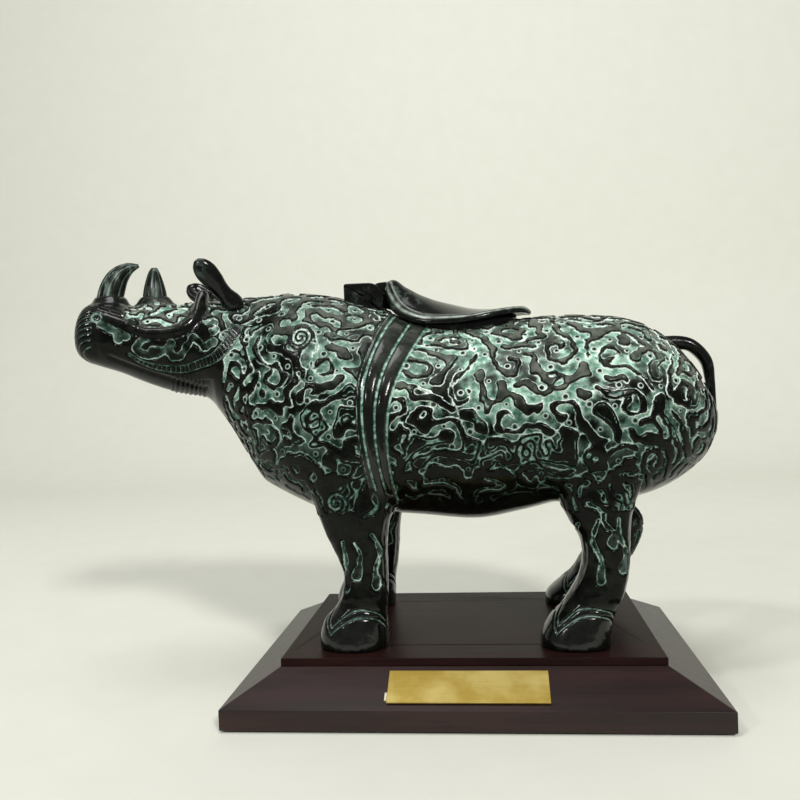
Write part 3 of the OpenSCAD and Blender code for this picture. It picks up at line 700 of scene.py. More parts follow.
def girth_ribs(s):
    """Two smooth hoops between three cut grooves, and a thin line ahead of them."""
    behind, rib_w, rib_share = girth_place(s.p)
    pitch = rib_w + RIB_GAP
    girded = ~s.on_head & (s.z > 97) & (s.x > -80) & (s.x < 0)
    s.gird = girded * np.maximum(smoothstep(100, 112, s.z), smoothstep(-42, -36, s.x))
    s.gird = s.gird * smoothstep(97, 104, s.z)
    across = (np.abs(behind) - pitch / 2) / (rib_w / 2)
    s.rib_rise = s.gird * RIB_H * rib_share * np.sqrt(np.clip(1 - np.abs(across) ** 2.6, 0, 1))
    s.rise += s.rib_rise
    grooves = [0.55 * np.abs(behind - k * pitch) for k in (-1, 0, 1)]
    for gap in grooves + [np.abs(behind + pitch + 2.6) + 0.15]:
        s.line = np.where(girded, np.minimum(s.line, gap + 2 * (1 - s.gird)), s.line)
    beside = np.clip(smoothstep(0, 1.2, behind - pitch) + smoothstep(-3.0, -4.2, behind + pitch), 0, 1)
    s.orn *= 1 - s.gird * (1 - beside)


def hooves(s):
    """A double line of three arches cut round the toes."""
    for table, leg_x, side, step in LEGS.values():
        dx, dy = s.x - (leg_x + table[0][1] + step), s.y - side * HOOF_Y
        here = (s.z < 60) & (np.hypot(dx, dy) < 26)
        arch = 9 * np.abs(np.sin(1.5 * (np.arctan2(dy, dx) * -side - math.radians(113)))) ** 0.8
        for base in (STAND_Z + 8.5, STAND_Z + 12):
            gap = abs(s.z - base - arch) * 0.8 + 0.08
            s.line = np.where(here, np.minimum(s.line, gap), s.line)
            s.rise -= np.where(here, 0.5 * bell(gap, 0.5), 0)
    s.orn *= np.where(s.z < 62, smoothstep(STAND_Z + 21, STAND_Z + 27, s.z), 1)


def leg_drops(s):
    """A few outlined drops run down from the flanks, over a faintly uneven leg."""
    drop_gap = np.full(s.n, FAR)
    for k, (_, leg_x, side, _) in enumerate(LEGS.values()):
        rng = np.random.default_rng(40 + k)
        lower = 13 if leg_x == FRONT_LEG_X else 0
        for face in (-1, 1):
            here = s.on_leg & (abs(s.x - leg_x) < 42) & (s.y * side > 0) & ((abs(s.y) - HOOF_Y) * face > -2)
            q = columns(s.x, s.z)[here]
            for across in (-11, -3, 4, 11):
                head_z, length = rng.uniform(84, 104) - lower, rng.uniform(14, 34)
                swing = rng.uniform(-3.4, 3.4, 4)
                trail = [[leg_x + across + swing[n], head_z - length * n / 3] for n in range(4)]
                far, run = segment_distance(q, spline(trail, 5))
                widths = [rng.uniform(0.7, 1.5), 1.2, rng.uniform(1.9, 2.8)]
                width = np.interp(run, [0, length * 0.75, length], widths)
                drop_gap[here] = np.minimum(drop_gap[here], far - width)
    s.leg_speckle = s.speckle_where(s.on_leg, 3.6, 15)
    hoof_share = smoothstep(STAND_Z + 27, STAND_Z + 17, s.z)
    fade = smoothstep(STAND_Z + 1.5, STAND_Z + 6, s.z) * smoothstep(92, 84, s.z)
    s.rise += (0.25 - 0.16 * hoof_share) * s.leg_speckle * fade
    s.orn *= 1 - s.low_leg * smoothstep(0.72, 0.92, abs(s.nx))
    s.edge = s.edge * (1 - s.low_leg) + s.low_leg * np.clip(drop_gap + 0.8 * s.leg_speckle, -3, 3)


def plain_undersides(s):
    under = smoothstep(-0.86, -0.42, s.nz)
    s.orn *= np.where(s.on_leg, np.maximum(under, smoothstep(90, 84, s.z)), under)


def brows(s):
    """The brow ridges are smooth, and a dished hollow full of scrolls lies above them."""
    gap = np.full(s.n, HEAD_FAR)
    for side in (-1, 1):
        for centre, radius in zip(*brow_line(side)):
            here = np.linalg.norm(s.p[s.on_head] - centre, axis=1) - radius
            gap[s.on_head] = np.minimum(gap[s.on_head], here)
    s.orn *= smoothstep(0.9, 2.2, gap)
    ridge = np.array(BROW_TABLE)[::-1]
    s.ridge_z = np.interp(s.u, ridge[:, 0], height(ridge[:, 2]))
    inside = smoothstep(39, 44, s.u) * smoothstep(83, 76, s.u) * smoothstep(4, 8, abs(s.v))
    s.bowl = s.on_head * inside * smoothstep(1, 4, s.z - s.ridge_z)
    s.rise -= 1.1 * s.bowl


def snout_and_cheek(s):
    """The snout's flat front is hatched, the cheek is plain but for its scrolls, the muzzle is plain."""
    s.front = smoothstep(96.5, 98, s.u) * s.on_head
    s.cut(np.where(s.front > 0.5, ticks((s.z - 0.58 * abs(s.v)) * 0.865, 2.85) + 0.12, FAR), 0.3)
    s.cut(np.where(s.on_head & (s.z < 209), abs(s.u - 97) * 1.2 + 0.3 + smoothstep(198, 188, s.z), FAR), 0.2)
    cheek_top = np.where(s.u < 37, np.interp(s.u, [18, 30, 37], [190, 195, 203]), s.ridge_z)
    cheek = s.on_head * (1 - s.bowl) * smoothstep(22, 26, s.u) * smoothstep(0, -3, s.z - cheek_top)
    s.cheek = np.maximum(cheek, s.on_head * smoothstep(78, 82, s.u))
    scroll_gap = np.min([s.from_line(points)[0] for points in SCROLLS], 0)
    scroll_gap += 1.1 * s.speckle_where(s.side_face, 4.5, 13)
    s.edge = s.edge * (1 - s.cheek) + s.cheek * np.clip(scroll_gap - 2.2, -3, 3)
    s.orn *= np.where(s.on_head, smoothstep(95, 92, s.u), 1)


def jaw(s):
    """A band between two lines, crossed by ticks and wider at the rear, over a fold that ends in knobs."""
    gap, run = s.from_line(JAW)
    half_band = np.interp(run, [0, 20, 45, 78], [0.6, 1.5, 2.4, 4.2])
    s.cut(np.abs(gap - half_band) + 0.1)
    s.cut(np.where(gap < half_band - 0.4, ticks(run, 2.5), FAR) + 0.14)
    s.orn *= smoothstep(0.2, 1.2, gap - half_band)
    s.rise += 0.35 * smoothstep(0.8, -0.6, gap - half_band)
    s.rise -= 0.8 * bell(s.from_line(JAW_FOLD)[0], 1.3)
    s.orn *= np.where(s.on_head & (s.z < 170), smoothstep(34, 28, s.u), 1)
    knobs = s.on_head * smoothstep(36, 38, s.u) * smoothstep(58, 54, s.u) * smoothstep(-0.5, -0.85, s.nz)
    s.rise += 0.9 * knobs * np.abs(np.sin(s.u * math.pi / 2.6))


def nostrils_and_eyes(s):
    """Sunk nostrils and rims round the eyes; the bosses under the horns stay plain."""
    def from_pair(u, v, percent):
        gap = np.sqrt((s.u - u) ** 2 + (abs(s.v) - v) ** 2 + (s.z - height(percent)) ** 2)
        return np.where(s.on_head, gap, HEAD_FAR)

    nostril, eye = from_pair(94, 18, 90.2), from_pair(75, 21, 88)
    s.rise += 0.5 * bell(nostril, 0.9, 3.2) - 1.3 * smoothstep(2.6, 0.8, nostril)
    s.line = np.minimum(s.line, abs(nostril - 2.4) * 0.6)
    s.rise += 0.5 * bell(eye, 0.8, 3.6)
    s.orn *= smoothstep(3.6, 4.8, eye)
    for u in (NOSE_HORN_U, BROW_HORN_U):
        boss = np.where(s.on_head & (s.z > height(94)), np.hypot(s.u - u, s.v), HEAD_FAR)
        s.orn *= smoothstep(11, 13, boss)


def spirals(s):
    for cx, cz, side in SPIRALS:
        r, a = np.hypot(s.x - cx, s.z - cz), np.arctan2(s.z - cz, (s.x - cx) * side)
        here = (s.y * side > 8) & (r < SPIRAL_R + 1.6) & (abs(s.ny) > 0.2)
        coil = abs((r / SPIRAL_PITCH - a / (2 * math.pi)) % 1 - 0.5) - 0.2
        cleared = np.where(here & (s.edge < 0.5), 0.5, s.edge)
        s.edge = np.where(here & (r < SPIRAL_R), coil * SPIRAL_PITCH, cleared)


def beads_and_echoes(s, places):
    """Beads in the wider hollows, and a second line beside some of the rims, in patches."""
    s.bead = np.full(s.n, FAR)
    tree = tree_of(places)
    wanted = np.flatnonzero((s.edge < 0.6) & (s.orn > 0.5) & (s.cheek < 0.5))
    sizes = np.random.default_rng(8).uniform(0.65, 1.2, len(places))
    s.bead[wanted] = [gap / sizes[k] for _, k, gap in (tree.find(q) for q in s.p[wanted])]
    echo = smoothstep(0.0, 0.22, speckle(s.p, 19, 31)) * smoothstep(0.4, 0.9, s.orn)
    echo = echo * (1 - s.cheek) * (1 - s.low_leg)
    s.line = np.minimum(s.line, abs(s.edge - 1.75) * 0.9 + 0.12 + 4 * (1 - echo))


def displace(s, mesh):
    raised = 0.8 * smoothstep(-0.2, 1.0, s.edge)
    hollow = -0.5 * smoothstep(0.35, -0.45, s.edge) - 0.25 * bell(s.edge, 0.5, -0.1)
    drop = 0.7 * np.sqrt(np.clip(1 - (s.bead / 1.15) ** 2, 0, 1)) * (s.bead < 1.15)
    drop = drop - 0.2 * bell(s.bead, 0.4, 1.6)
    line_cut = 0.35 * bell(np.minimum(s.line, 3), 0.5) * (s.rib_rise < 0.1)
    total = s.rise + s.orn * (raised + hollow + np.where(s.edge < 0.4, drop, 0)) - line_cut
    total = np.where(s.z < STAND_Z + 1.5, 0, total)
    move_points(mesh, s.p + s.normals * total[:, None])


def fields(s):
    """What the bronze's material reads at each point."""
    # Pale green keeps most on the upper flanks and in the hollow of the brow, and little below
    patina = (0.12 + 0.88 * smoothstep(112, 166, s.z)) * (1 - 0.28 * smoothstep(-20, -80, s.x))
    patina = np.where(s.on_leg, 0.34 + 0.3 * s.leg_speckle, patina)
    patina = np.where(s.on_head, 0.75 - 0.3 * s.cheek + 0.25 * s.bowl - 0.3 * s.front, patina)
    # Hooves, ridges, bosses and girth ribs are the most polished
    smooth = (1 - s.orn) * np.maximum(s.gird, s.on_head * smoothstep(-0.3, 0.2, s.nz))
    gloss = np.maximum(smoothstep(STAND_Z + 25, STAND_Z + 17, s.z), smooth)
    # up, how far each face points upward, drives the painted sheen of reflected overhead light in the
    # material
    return {"edge": s.edge, "orn": s.orn, "line": s.line, "bead": s.bead, "patina": patina,
            "up": np.clip(s.nz, 0, 1), "gloss": gloss}


def ornamented_skin():
    """The finished skin and its fields."""
    obj, graph, p = plain_skin()
    field, edge = scroll_field(graph, p, normals_of(obj.data))
    put_attribute(obj.data, "edge", edge)
    order = np.argsort(field)
    bead_places = thinned(p[order[field[order] < -0.45]], 11)
    s = Relief(finer(obj).data)
    for feature in (girth_ribs, hooves, leg_drops, plain_undersides, brows, snout_and_cheek, jaw,
                    nostrils_and_eyes, spirals):
        feature(s)
    beads_and_echoes(s, bead_places)
    displace(s, obj.data)
    return obj, fields(s)


# The skin is parted into its castings


def box_object(low, high):
    (x0, y0, z0), (x1, y1, z1) = low, high
    base = [(x0, y0), (x1, y0), (x1, y1), (x0, y1)]
    faces = [(0, 3, 2, 1), (4, 5, 6, 7), (0, 1, 5, 4), (1, 2, 6, 5), (2, 3, 7, 6), (3, 0, 4, 7)]
    return mesh_object("cutter", [(x, y, z) for z in (z0, z1) for x, y in base], faces)


def leg_box(name, x, side, front_top=88.0, rear_top=89.0):
    top, reach_back = (front_top, 28) if "front" in name else (rear_top, 46)
    y0, y1 = sorted((side * 14, side * 80))
    return box_object((x - 34, y0, 10), (x + reach_back, y1, top))


def wine_space():
    rows = []
    for percent, top, low, width, _ in BODY_TABLE:
        if 4 < percent < 96:
            x = along(percent)
            ceiling = WALL if 25 < percent < 82 else 2 * WALL
            over_legs = min(abs(x - FRONT_LEG_X), abs(x - REAR_LEG_X)) < 30
            floor_z = max(height(low) + WALL, LEG_JOINT_Z + WALL if over_legs else 0)
            rows.append([x, height(top) - ceiling, floor_z, width / 200 * BODY_W - WALL, 2.2])
    return mesh_object("cutter", *loft(body_rings(np.array(rows), 64)))


def mouth_plug(half_l=32.7, half_w=20.7, count=96):
    a = ring_angles(count)
    return mesh_object("cutter", *loft([columns(LID_MID + half_l * np.cos(a), half_w * np.sin(a), z)
                                        for z in (height(50), height(110))]))


def castings():
    """The head, the legs and the hollow body, by the nodes that they stand for."""
    skin, values = ornamented_skin()
    head_box = box_object((-260, -100, 60), (NECK_X, 100, 260))
    boxes = {name: leg_box(name, x, side) for name, (_, x, side, _) in LEGS.items()}
    made = {"head": cut(copy_object(skin, "head_casting"), head_box, "INTERSECT")}
    for name, block in boxes.items():
        made[name] = cut(copy_object(skin, name + "_casting"), block, "INTERSECT")
    shell = copy_object(skin, "body_casting")
    cutters = [head_box, *boxes.values(), wine_space(), mouth_plug()]
    for block in cutters:
        cut(shell, block, "DIFFERENCE")
    made["body_shell"] = shell
    tree = tree_of([v.co for v in skin.data.vertices])
    for obj in made.values():
        nearest = [tree.find(v.co)[1] for v in obj.data.vertices]
        for name, field in values.items():
            put_attribute(obj.data, name, field[nearest])
        smooth_shade(obj)
        obj.data.set_sharp_from_angle(angle=math.radians(66))
    for obj in [skin] + cutters:
        drop_object(obj)
    return made


# Materials


class Nodes:
    """Short forms for building a node tree."""

    def __init__(self, name):
        self.material = bpy.data.materials.new(name)
        self.material.use_nodes = True
        self.tree = self.material.node_tree
        self.tree.nodes.clear()
        self.out = self.tree.nodes.new("ShaderNodeOutputMaterial")
        self.shader = self.tree.nodes.new("ShaderNodeBsdfPrincipled")
        self.tree.links.new(self.shader.outputs[0], self.out.inputs[0])
        self.place = self.tree.nodes.new("ShaderNodeTexCoord").outputs["Object"]

    def put(self, socket, value):
        if hasattr(value, "is_output"):
            self.tree.links.new(value, socket)
        else:
            socket.default_value = value

    def set(self, name, value):
        self.put(self.shader.inputs[name], value)

    def node(self, kind, sockets, out=0, **settings):
        """One output of a new node with its settings and inputs."""
        n = self.tree.nodes.new("ShaderNode" + kind)
        for name, value in settings.items():
            setattr(n, name, value)
        for name, value in sockets.items():
            self.put(n.inputs[name], value)
        return n.outputs[out]

    def math(self, operation, a, b=0.0, clamp=False):
        return self.node("Math", {0: a, 1: b}, operation=operation, use_clamp=clamp)

    def add(self, a, b):
        return self.math("ADD", a, b)

    def mul(self, a, b):
        return self.math("MULTIPLY", a, b)

    def most(self, a, b):
        return self.math("MAXIMUM", a, b)

    def field(self, name):
        return self.node("Attribute", {}, "Fac", attribute_name=name)

    def ramp(self, value, low, high, at_low=0.0, at_high=1.0):
        sockets = {"Value": value, "From Min": low, "From Max": high, "To Min": at_low, "To Max": at_high}
        return self.node("MapRange", sockets, "Result", interpolation_type="SMOOTHSTEP")

    def stretched(self, scale):
        return self.node("Mapping", {"Vector": self.place, "Scale": scale})

    def noise(self, scale, detail=3.0, rough=0.55, where=None):
        sockets = {"Vector": where or self.place, "Scale": scale, "Detail": detail, "Roughness": rough}
        return self.node("TexNoise", sockets, "Fac")

    def mix(self, factor, a, b):
        return self.node("Mix", {0: factor, 6: a, 7: b}, 2, data_type="RGBA")

    def bump(self, heights, strength, distance):
        sockets = {"Strength": strength, "Distance": distance, "Height": heights}
        self.set("Normal", self.node("Bump", sockets))


def colour(text):
    """A colour given as six hex digits, in linear light."""
    rgb = [int(text[k:k + 2], 16) / 255 for k in (0, 2, 4)]
    return tuple(c / 12.92 if c <= 0.04045 else ((c + 0.055) / 1.055) ** 2.4 for c in rgb) + (1.0,)


def bronze_skin():
    """Cast bronze, black, with a painted grey-brown sheen of reflected overhead light on upward faces and
    most on the upper flanks, pale green in hollows, along edges and in cut lines.
    """
    m = Nodes("patinated_bronze")
    broad, mid, fleck, grain = m.noise(42, 3), m.noise(170, 3), m.noise(430, 3), m.noise(1100, 2)
    orn, bead, patina, up = (m.field(k) for k in ("orn", "bead", "patina", "up"))
    waver = m.add(m.mul(m.add(fleck, -0.5), 1.4), m.mul(m.add(grain, -0.5), 0.4))
    edge = m.add(m.field("edge"), waver)
    hollow = m.ramp(edge, 0.1, -0.3)
    kept = m.ramp(m.add(broad, m.mul(mid, 0.45)), 0.62, 0.82)
    fill = m.mul(m.mul(hollow, m.ramp(edge, -2.6, -0.25, 0.35, 0.9)), m.mul(m.mul(patina, patina), kept))
    rim = m.mul(m.ramp(m.math("ABSOLUTE", m.add(edge, 0.12)), 0.4, 0.1), m.add(m.mul(patina, 0.75), 0.25))
    rim = m.mul(rim, m.ramp(m.add(mid, m.mul(fleck, 0.6)), 0.62, 0.86, 0.3, 1.0))
    ring = m.mul(m.mul(m.ramp(bead, 1.0, 1.3), m.ramp(bead, 2.1, 1.5)), m.add(m.mul(patina, 0.6), 0.1))
    rim = m.mul(orn, m.most(rim, m.mul(ring, hollow)))
    clear = m.ramp(m.add(bead, m.mul(m.ramp(edge, 0.2, 0.6), 9.0)), 0.7, 1.1)
    rim = m.mul(rim, clear)
    cut_line = m.mul(m.ramp(m.field("line"), 0.5, 0.12), m.add(m.mul(patina, 0.5), 0.28))
    cut_line = m.mul(cut_line, m.ramp(fleck, 0.36, 0.6, 0.4, 1.0))
    green = m.most(m.mul(m.mul(orn, fill), clear), m.most(rim, cut_line))
    green = m.math("MULTIPLY", green, m.add(m.mul(grain, 0.5), 0.75), True)
    # The painted sheen is kept off the walls of the raised bands, which leaves a dark line of painted shade
    # along them
    wall_shade = m.mul(orn, m.ramp(m.math("ABSOLUTE", m.add(edge, -0.55)), 0.7, 0.2, 0.0, 0.85))
    # Painted reflection of overhead light: a grey-brown sheen on upward faces, strongest where the patina is
    # heavy, patchy by noise
    painted_sheen_amount = m.add(m.add(patina, m.mul(up, 0.7)), m.mul(m.add(broad, -0.5), 1.6))
    painted_sheen = m.mul(m.ramp(painted_sheen_amount, 0.9, 1.6, 0.0, 0.7), m.add(m.mul(orn, 0.7), 0.3))
    painted_sheen = m.mul(m.mul(painted_sheen, m.add(m.mul(wall_shade, -1.0), 1.0)), m.ramp(bead, 0.9, 1.1))
    dark = m.mix(m.ramp(mid, 0.35, 0.7), colour("070806"), colour("11140f"))
    # The black bronze is mixed toward grey-brown where the painted sheen falls
    dark = m.mix(painted_sheen, dark, m.mix(m.ramp(mid, 0.35, 0.65), colour("49514a"), colour("747a6e")))
    tint = m.mix(m.ramp(m.add(mid, fleck), 0.8, 1.2), colour("61a189"), colour("bfead4"))
    pale = m.mix(m.math("MULTIPLY", m.mul(rim, patina), 1.6, True), tint, colour("effbf1"))
    m.set("Base Color", m.mix(green, dark, pale))
    m.set("Roughness", m.add(m.add(m.mul(green, 0.4), m.mul(mid, 0.1)), 0.1))
    m.set("Specular IOR Level", m.ramp(m.field("gloss"), 0.0, 1.0, 0.12, 0.42))
    step = m.mul(orn, m.ramp(edge, -0.3, 0.35))
    m.bump(m.add(m.add(m.mul(mid, 0.4), m.mul(fleck, 0.4)), step), 0.4, 0.0005)
    return m.material


def plain_bronze():
    """The smooth, nearly black bronze of the lid, ears and tail, with green flecks, and painted highlight
    lines along the lid's rim.
    """
    m = Nodes("dark_bronze")
    broad, mid, grain = m.noise(55, 3), m.noise(240, 4), m.noise(1100, 2)
    bloom = m.mul(m.ramp(broad, 0.5, 0.74), m.ramp(mid, 0.46, 0.66))
    # Painted highlight: pale lines along the lid's rim, patchy by noise
    rim_highlight_share = m.mul(m.field("painted_rim_highlight"), m.ramp(mid, 0.34, 0.6, 0.35, 0.9))
    dark = m.mix(m.ramp(mid, 0.3, 0.75), colour("080a08"), colour("131511"))
    dark = m.mix(m.mul(bloom, 0.3), dark, colour("6d8578"))
    m.set("Base Color", m.mix(rim_highlight_share, dark, colour("aebcae")))
    m.set("Roughness", m.add(m.mul(broad, 0.12), m.add(m.mul(bloom, 0.25), 0.1)))
    m.set("Specular IOR Level", 0.26)
    m.bump(m.add(m.mul(mid, 0.7), m.mul(grain, 0.3)), 0.22, 0.0004)
    return m.material


def horn_bronze():
    """Dark bronze with pale green rubbed along the flutes."""
    m = Nodes("horn_bronze")
    streaks = m.noise(260, 4, 0.6, m.stretched((1.0, 1.0, 0.25)))
    mid, grain = m.noise(240, 3), m.noise(1000, 2)
    green = m.mul(m.ramp(m.field("line"), 0.7, 0.15), m.ramp(streaks, 0.4, 0.65, 0.2, 0.8))
    green = m.most(green, m.mul(m.ramp(streaks, 0.48, 0.7), 0.4))
    dark = m.mix(m.ramp(mid, 0.3, 0.75), colour("0f120e"), colour("20251f"))
    m.set("Base Color", m.mix(green, dark, colour("8ea598")))
    m.set("Roughness", m.add(m.mul(green, 0.3), m.add(m.mul(mid, 0.15), 0.15)))
    m.set("Specular IOR Level", 0.16)
    m.bump(m.add(m.mul(streaks, 0.7), m.mul(grain, 0.3)), 0.25, 0.0004)
    return m.material


def lacquered_wood(name, gloss):
    """Dark red-brown lacquer over close-grained wood."""
    m = Nodes(name)
    lines = m.noise(160, 5, 0.6, m.stretched((0.06, 1.0, 1.0)))
    pores = m.noise(900, 2, 0.5, m.stretched((0.05, 1.0, 1.0)))
    broad = m.noise(14, 2)
    wood = m.mix(m.ramp(lines, 0.35, 0.7), colour("1b0f0e"), colour("2b1815"))
    wood = m.mix(m.ramp(pores, 0.58, 0.75), wood, colour("120a09"))
    m.set("Base Color", m.mix(m.mul(broad, 0.3), wood, colour("261715")))
    m.set("Roughness", m.add(m.mul(lines, 0.12), 0.3))
    m.set("Specular IOR Level", gloss)
    m.bump(m.add(m.mul(pores, 0.5), m.mul(lines, 0.5)), 0.12, 0.0003)
    return m.material


def brass():
    """Brushed brass plate, a little tarnished."""
    m = Nodes("plaque_brass")
    brushed = m.noise(700, 4, 0.65, m.stretched((0.03, 1.0, 1.0)))
    cloud = m.noise(50, 3)
    tone = m.mix(m.ramp(cloud, 0.35, 0.7), colour("bca24e"), colour("d9c67e"))
    m.set("Base Color", m.mix(m.mul(brushed, 0.3), tone, colour("9c8543")))
    m.set("Roughness", m.add(m.mul(brushed, 0.2), 0.5))
    m.set("Metallic", 1.0)
    m.bump(brushed, 0.15, 0.0002)
    return m.material


def mottled(name, grain, tones, rough, bump=None, stretch=None, constant=None):
    """A plain finish, where one noise sways the colour, the roughness and the relief."""
    m = Nodes(name)
    sway = m.noise(*grain, where=m.stretched(stretch) if stretch else None)
    m.set("Base Color", m.mix(sway, colour(tones[0]), colour(tones[1])))
    m.set("Roughness", m.add(m.mul(sway, rough[0]), rough[1]))
    if constant:
        m.set(*constant)
    if bump:
        m.bump(sway, *bump)
    return m.material


dark_bronze = plain_bronze()
rail_lacquer = lacquered_wood("rail_lacquer", 0.35)
bare_wood = mottled("bare_wood", (120, 5, 0.6), ("7a5a3c", "a98560"), (0.2, 0.55), (0.25, 0.0004),
                    stretch=(0.08, 1, 1))
felt = mottled("felt", (1600, 4, 0.7), ("131c16", "33463a"), (0.1, 0.88), (0.6, 0.0006),
               constant=("Sheen Weight", 0.4))
tape = mottled("tape", (300, 3), ("b7ab8f", "ded6c0"), (0.2, 0.45), (0.2, 0.0002))
steel = mottled("steel", (900, 3), ("83858a", "b4b6ba"), (0.2, 0.25), (0.15, 0.0002),
                constant=("Metallic", 1.0))
eye_glass = mottled("eye_glass", (500, 2), ("0a0c0b", "23302a"), (0.12, 0.08))

# Pieces


def dress(obj, material, body, node):
    """Gives a piece its finish, its body and the node that it stands for."""
    obj.data.materials.clear()
    obj.data.materials.append(material)
    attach(obj, body)
    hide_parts(node)


def turned(angle, axis):
    return np.array(Matrix.Rotation(math.radians(angle), 3, axis))


def on_head_place(points, u, v, z):
    """Points about a place on the head, turned with the neck there."""
    yaw = math.degrees(min(max(u, 0), BEND_LEN) / BEND_R)
    return points @ turned(yaw, "Z").T + head_point(np.array(float(u)), np.array(float(v)), z)


def horn(node, table, u, h, r, material, flutes=7, count=112):
    a = ring_angles(count)
    rings = []
    for back, up, wide, tilt in spline(table, 14):
        k = r * wide / 100 * (1.0 - 0.085 * (0.5 + 0.5 * np.cos(flutes * a)) ** 3)
        t = math.radians(tilt)
        rings.append(columns(back / 100 * h + k * np.cos(a) * math.cos(t), k * np.sin(a),
                             up / 100 * h - k * np.cos(a) * math.sin(t)))
    verts, faces = loft(rings)
    obj = mesh_object(node + "_casting", on_head_place(verts, u, 0, HORN_BASE_Z), faces)
    flute = np.tile(np.linspace(0, flutes, count, endpoint=False), len(rings))
    put_attribute(obj.data, "line", np.append(np.abs((flute + 0.5) % 1 - 0.5) * 5.4, [FAR, FAR]))
    dress(obj, material, "vessel", node)


def ear(node, side, u, v, up, lean, pitch, count=72):
    """A paddle-shaped ear, dished on its inner side."""
    a = ring_angles(count)
    hollow = (np.sin(a) * side < 0) * np.clip(1 - (np.cos(a) / 0.8) ** 2, 0, 1)
    rings = []
    for part, half_w, half_t in spline(EAR, 8):
        dish = 0.9 * smoothstep(44, 60, part) * smoothstep(100, 86, part) * hollow
        rings.append(EAR_EASE * columns(half_w * np.cos(a), half_t * np.sin(a) * (1 - dish),
                                        part / 100 * (EAR_LEN + EAR_PEG) - EAR_PEG))
    verts, faces = loft(rings)
    verts = verts @ (turned(-side * lean, "X") @ turned(-pitch, "Y")).T
    obj = mesh_object(node + "_casting", on_head_place(verts, u, side * v, height(up)), faces)
    dress(obj, dark_bronze, "vessel", node)


def tail():
    """A strap with a shallow groove along it."""
    rows = spline(TAIL, 10)
    heading = np.unwrap(np.arctan2(np.gradient(rows[:, 1]), np.gradient(rows[:, 0])))
    a = ring_angles(56)
    groove = 1 - 0.12 * bell(np.abs(np.sin(a)), 0.12, 1)
    rings = []
    for (tx, tz, half_t, half_w), way in zip(rows, heading):
        across = half_t * np.sin(a) * groove
        rings.append(columns(TAIL_ROOT[0] + tx - across * math.sin(way), half_w * np.cos(a),
                             TAIL_ROOT[1] + tz + across * math.cos(way)))
    dress(mesh_object("tail_casting", *loft(rings)), dark_bronze, "vessel", "tail")


def lid_row(px):
    """The lid's heights at places along it."""
    s = np.clip(100 * (px - LID_X0) / LID_LEN, 0, 100)
    i = np.clip(np.searchsorted(LID[:, 0], s, "right") - 1, 0, len(LID) - 2)
    t = ((s - LID[i, 0]) / (LID[i + 1, 0] - LID[i, 0]))[:, None]
    return curve(LID[np.maximum(i - 1, 0)], LID[i], LID[i + 1], LID[np.minimum(i + 2, len(LID) - 1)], t)


def lid_heights(fx, fy):
    """Top and underside of the lid at places given as shares of its half length and half width."""
    r = lid_row(LID_MID + fx * LID_LEN / 2)
    fall = np.minimum(1, (np.abs(fy) / np.sqrt(1.05 - fx ** 2)) ** 1.7)
    top = LID_DATUM + POMMEL_H / 100 * (r[:, 1] + (r[:, 3] - r[:, 1]) * fall)
    under = LID_DATUM - LID_T + POMMEL_H / 100 * (r[:, 2] + (r[:, 3] - r[:, 2]) * fall)
    return top, np.minimum(under, top - 1.5)


def lid_plate():
    """The saddle, from the middle of its top round its rim to the middle of its underside."""
    a = -ring_angles(180)
    rim = [(0.955, 0.97), (0.98, 0.88), (0.995, 0.7), (1.0, 0.5), (0.995, 0.3), (0.98, 0.12), (0.955, 0.03)]
    shares = [(k, 1.0) for k in np.linspace(0.03, 0.92, 30)] + rim
    shares += [(k, 0.0) for k in np.linspace(0.92, 0.03, 30)]
    rings = []
    for k, share in shares:
        fx, fy = k * np.cos(a), k * np.sin(a)
        top, under = lid_heights(fx, fy)
        z = under + (top - under) * share + 0.7 * bell(k, 0.03, 0.93) * share
        rings.append(columns(LID_MID + fx * LID_LEN / 2, fy * LID_W / 2, z))
    return loft(rings)


def hinge_circle(r):
    a = ring_angles(64)
    return columns(HINGE[0] + r * np.cos(a), HINGE[1] + r * np.sin(a))


def lid():
    """The saddle lid, with its tongue and bore, and pale painted highlight lines along its rim bead."""
    pommel = lid_heights(np.array([-0.88]), np.array([0.0]))[0][0]
    neck = [[HINGE[0] - 2, HINGE[1] + 5.5], [HINGE[0] + 5, HINGE[1] + 9], [LID_X0 + 5, pommel - 1],
            [LID_X0 + 8, LID_DATUM], [HINGE[0] + 5, HINGE[1] - 4]]
    tongue = [prism(outline, TONGUE_W / 2) for outline in (hinge_circle(KNUCKLE), neck)]
    obj = remeshed(mesh_object("lid_casting", *joined([lid_plate()] + tongue)), 0.55)
    graph, q = Graph(obj.data), points_of(obj.data)
    for _ in range(4):
        q = q + 0.5 * (graph.mean_points(q) - q)
    move_points(obj.data, q)
    bore = mesh_object("cutter", *prism(hinge_circle(PIN_BORE_R), 12))
    cut(obj, bore, "DIFFERENCE")
    drop_object(bore)
    smooth_shade(obj)
    q = points_of(obj.data)
    share = np.hypot((q[:, 0] - LID_MID) / (LID_LEN / 2), q[:, 1] / (LID_W / 2))
    # Painted highlight lines along the rim bead, kept to the faces that point upward
    painted_rim_highlight = bell(share, 0.011, 0.965) + 0.5 * bell(share, 0.009, 0.915)
    put_attribute(obj.data, "painted_rim_highlight", painted_rim_highlight * smoothstep(-0.1, 0.5, normals_of(obj.data)[:, 2]))
    dress(obj, dark_bronze, "lid", "lid")


